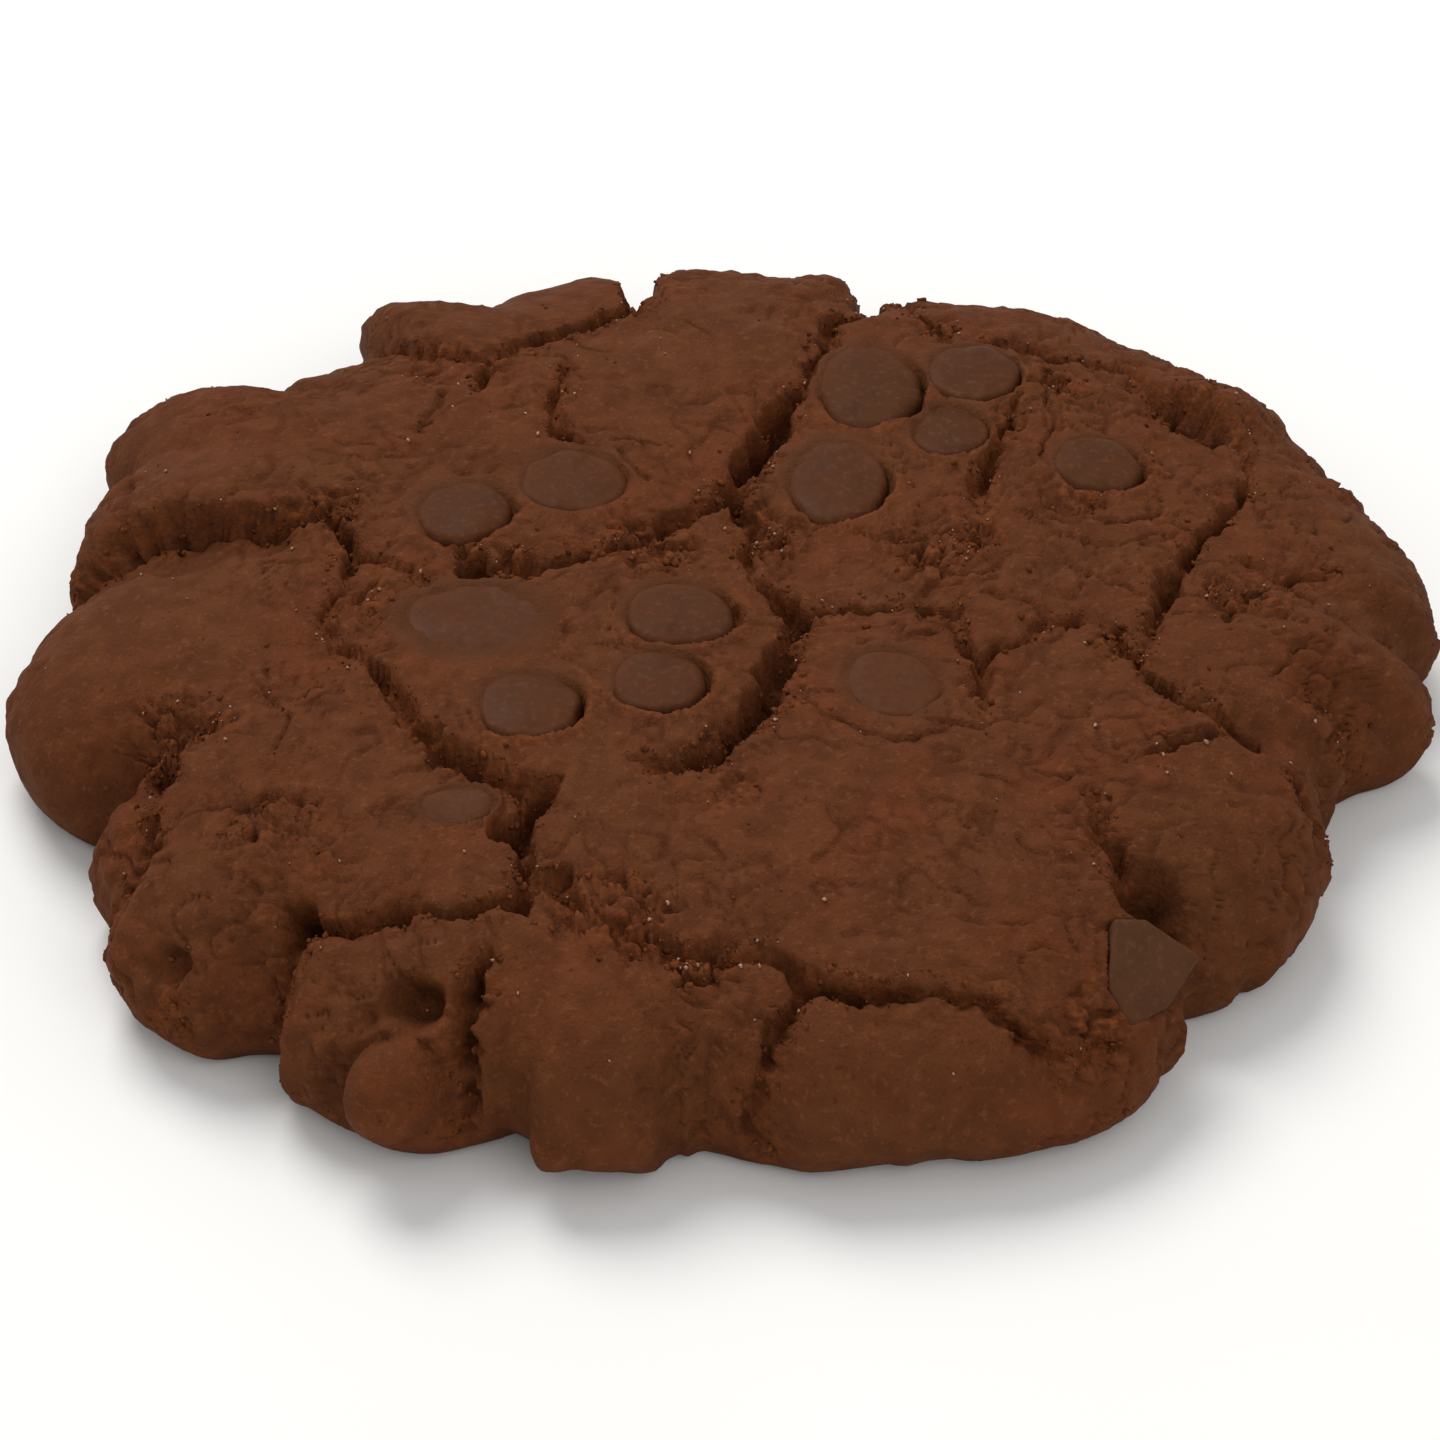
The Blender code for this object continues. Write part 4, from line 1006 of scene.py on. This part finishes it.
def add_grains(points, normals, crust):
    draw = np.random.default_rng(SEED)
    shown = (crust.z > 2.0) & (crust.calm > 0.5)
    beside = np.exp(-((crust.past_edge - 0.2) / 0.4) ** 2) * (crust.past_edge > -0.3)
    inside = 0.5 * crust.in_crack * (crust.cut > 0.6)
    clustered = smooth_step(0.5 + 1.6 * fine_noise(points, 2.6, 60)) + 0.03
    chance = shown * clustered * (0.004 + beside * 0.4 + crust.broken ** 2 * 0.7 + inside)
    scatter("crumbs", CRUMBS, chance, points, normals, crumb_material(), draw)
    chance = shown * clustered ** 2 * (crust.z > 7.0) * (0.04 + beside * 0.4 + crust.broken * 0.8)
    scatter("sugar_grains", GLINTS, chance, points, normals, sugar_material(), draw)


class Nodes:
    """Builds a material's nodes, each with its settings and what its sockets take."""

    def __init__(self, name, roughness):
        self.made = bpy.data.materials.new(name)
        self.made.use_nodes = True
        self.tree = self.made.node_tree
        self.shader = self.tree.nodes["Principled BSDF"]
        self.shader.inputs["Roughness"].default_value = roughness
        self.place = self.add("ShaderNodeTexCoord").outputs["Object"]

    def add(self, kind, settings=None, **sockets):
        node = self.tree.nodes.new(kind)
        for key, value in (settings or {}).items():
            setattr(node, key, value)
        for key, value in sockets.items():
            self.feed(node.inputs[key.replace("_", " ")], value)
        return node

    def feed(self, socket, value):
        if isinstance(value, bpy.types.NodeSocket):
            self.tree.links.new(value, socket)
        else:
            socket.default_value = value

    def noise(self, millimetres, detail=3.0, roughness=0.55):
        node = self.add(
            "ShaderNodeTexNoise", Vector=self.place, Scale=1.0 / (millimetres * MM),
            Detail=detail, Roughness=roughness)
        return node.outputs["Fac"]

    def fed(self, kind, settings, *items):
        """The first output of a node with these items in its first sockets."""
        node = self.add(kind, settings)
        for socket, item in zip(node.inputs, items):
            self.feed(socket, item)
        return node.outputs[0]

    def ramp(self, value, low, high, out_low=0.0, out_high=1.0):
        settings = {"interpolation_type": "SMOOTHSTEP"}
        return self.fed("ShaderNodeMapRange", settings, value, low, high, out_low, out_high)

    def product(self, first, second):
        return self.fed("ShaderNodeMath", {"operation": "MULTIPLY"}, first, second)

    def mix(self, share, first, second):
        """Two colours, each given as red, green and blue or as a socket, mixed by a share."""
        node = self.add("ShaderNodeMix", {"data_type": "RGBA"})
        self.feed(node.inputs[0], share)
        for index, colour in ((6, first), (7, second)):
            self.feed(node.inputs[index], (*colour, 1.0) if isinstance(colour, tuple) else colour)
        return node.outputs[2]

    def stain(self, colour, share, strength, other):
        return self.mix(self.product(share, strength), colour, other)

    def attribute(self, name):
        return self.add("ShaderNodeAttribute", {"attribute_name": name}).outputs

    def bump(self, height, strength, millimetres):
        node = self.add(
            "ShaderNodeBump", Height=height, Strength=strength, Distance=millimetres * MM)
        return node.outputs["Normal"]

    def finish(self, **sockets):
        for key, value in sockets.items():
            self.feed(self.shader.inputs[key.replace("_", " ")], value)
        return self.made


def dough_material():
    nodes = Nodes("dough_surface", 0.8)
    tone = nodes.attribute("tone")
    melted = nodes.attribute("melted")["Fac"]
    parts = nodes.add("ShaderNodeSeparateColor", Color=tone["Color"])
    # The tone's first part is painted shade in the recesses; its second is broken crust together
    # with a painted highlight on the chips' lips
    recess_shade, broken, hue = (parts.outputs[index] for index in range(3))
    blotched = nodes.noise(2.0, 3.0, 0.62)
    grained = nodes.noise(0.5, 3.0, 0.65)
    mottled = nodes.ramp(blotched, 0.38, 0.62)
    speckled = nodes.ramp(grained, 0.54, 0.68)
    crumbly_and_lit_lips = nodes.product(broken, nodes.ramp(grained, 0.38, 0.60))
    pores = nodes.ramp(grained, 0.30, 0.40, 1.0, 0.0)
    browned = nodes.product(tone["Alpha"], nodes.ramp(blotched, 0.3, 0.7, 0.5, 1.0))
    colour = nodes.mix(hue, BROWN, REDDISH)
    # Of these stains, the recess one lays painted shade, and the torn crust one also lays a
    # painted highlight on the chips' lips
    for share, strength, other in (
            (mottled, 0.70, MOTTLE), (speckled, 0.45, SPECK), (crumbly_and_lit_lips, 0.75, TORN_AND_LIP_HIGHLIGHT),
            (melted, 0.75, MELTED), (pores, 0.60, PORE), (recess_shade, 0.65, PAINTED_RECESS_SHADE),
            (browned, 0.55, UNDERSIDE)):
        colour = nodes.stain(colour, share, strength, other)
    rough = nodes.ramp(blotched, 0.3, 0.7, 0.68, 0.86)
    bump = nodes.bump(nodes.noise(0.36, 2.0, 0.6), 1.0, 0.15)
    return nodes.finish(
        Base_Color=colour, Roughness=rough, Normal=bump, Specular_IOR_Level=DULL)


def chocolate_material(name, dark, light):
    nodes = Nodes(name, 0.5)
    cloudy = nodes.noise(2.6, 3.0, 0.6)
    dusty = nodes.noise(0.45, 3.0, 0.65)
    colour = nodes.mix(nodes.ramp(cloudy, 0.35, 0.65), dark, light)
    colour = nodes.stain(colour, nodes.ramp(dusty, 0.52, 0.68), 0.35, DUST)
    film = nodes.attribute("film")["Fac"]
    colour = nodes.stain(colour, nodes.ramp(dusty, 0.35, 0.55, 0.4, 1.0), film, FILM)
    rough = nodes.ramp(cloudy, 0.3, 0.7, 0.50, 0.68)
    bump = nodes.bump(dusty, 0.35, 0.06)
    return nodes.finish(
        Base_Color=colour, Roughness=rough, Normal=bump, Specular_IOR_Level=DULL)


def crumb_material():
    nodes = Nodes("crumb_surface", 0.85)
    colour = nodes.mix(nodes.attribute("pale")["Fac"], *CRUMB_COLOURS)
    shade = nodes.ramp(nodes.noise(0.3, 2.0, 0.6), 0.35, 0.65)
    colour = nodes.stain(colour, shade, 0.4, CRUMB_SHADE)
    return nodes.finish(Base_Color=colour, Specular_IOR_Level=DULL)


def sugar_material():
    nodes = Nodes("sugar_surface", 0.3)
    colour = nodes.mix(nodes.attribute("pale")["Fac"], *SUGAR_COLOURS)
    shade = nodes.ramp(nodes.noise(0.15, 2.0, 0.5), 0.4, 0.6)
    return nodes.finish(Base_Color=nodes.stain(colour, shade, 0.3, SUGAR_SHADE))


def add_floor():
    bm = bmesh.new()
    bmesh.ops.create_grid(bm, x_segments=1, y_segments=1, size=FLOOR_REACH)
    floor = add_object("floor", mesh_of(bm, "floor"))
    nodes = Nodes("floor_surface", 0.9)
    shade = nodes.ramp(nodes.noise(60.0, 2.0, 0.5), 0.3, 0.7)
    floor.data.materials.append(nodes.finish(Base_Color=nodes.mix(shade, *FLOOR_COLOURS)))
    floor.location.z = -FLOOR_GAP * MM


def add_area_light(name, place, width, watts, colour):
    light = bpy.data.lights.new(name, "AREA")
    light.shape = "DISK"
    light.size = width
    light.energy = watts
    light.color = colour
    lamp = add_object(name, light)
    lamp.location = place
    lamp.rotation_euler = Vector(place).to_track_quat("Z", "Y").to_euler()


def add_lights():
    for name, settings in LIGHTS.items():
        add_area_light(name, *settings)
    world = bpy.data.worlds.new("studio")
    world.use_nodes = True
    sky = world.node_tree.nodes["Background"]
    sky.inputs["Color"].default_value = (1.0, 1.0, 1.0, 1.0)
    sky.inputs["Strength"].default_value = SKY_STRENGTH
    bpy.context.scene.world = world


def add_camera():
    data = bpy.data.cameras.new("camera")
    data.sensor_width = SENSOR
    data.lens = SENSOR * VIEW_DISTANCE / VIEW_WIDTH
    data.clip_start, data.clip_end = 0.01, 20.0
    camera = add_object("camera", data)
    back = Vector((0.0, -math.cos(VIEW_ELEVATION), math.sin(VIEW_ELEVATION)))
    target = Vector(in_place(np.array([VIEW_TARGET]))[0])
    camera.location = target + back * VIEW_DISTANCE * MM
    camera.rotation_euler = back.to_track_quat("Z", "Y").to_euler()
    bpy.context.scene.camera = camera


def main():
    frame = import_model()
    dough = dough_material()
    chocolate = chocolate_material("chip_surface", *CHIP_COLOURS)
    snapped = chocolate_material("chunk_surface", *CHUNK_COLOURS)
    points, normals, crust = dough_piece(dough)
    for name, chip in CHIPS.items():
        chip_piece(name, chip, chocolate)
    chunk_piece(snapped)
    add_grains(points, normals, crust)
    add_floor()
    add_lights()
    add_camera()
    bpy.context.scene.view_settings.view_transform = "Standard"


main()
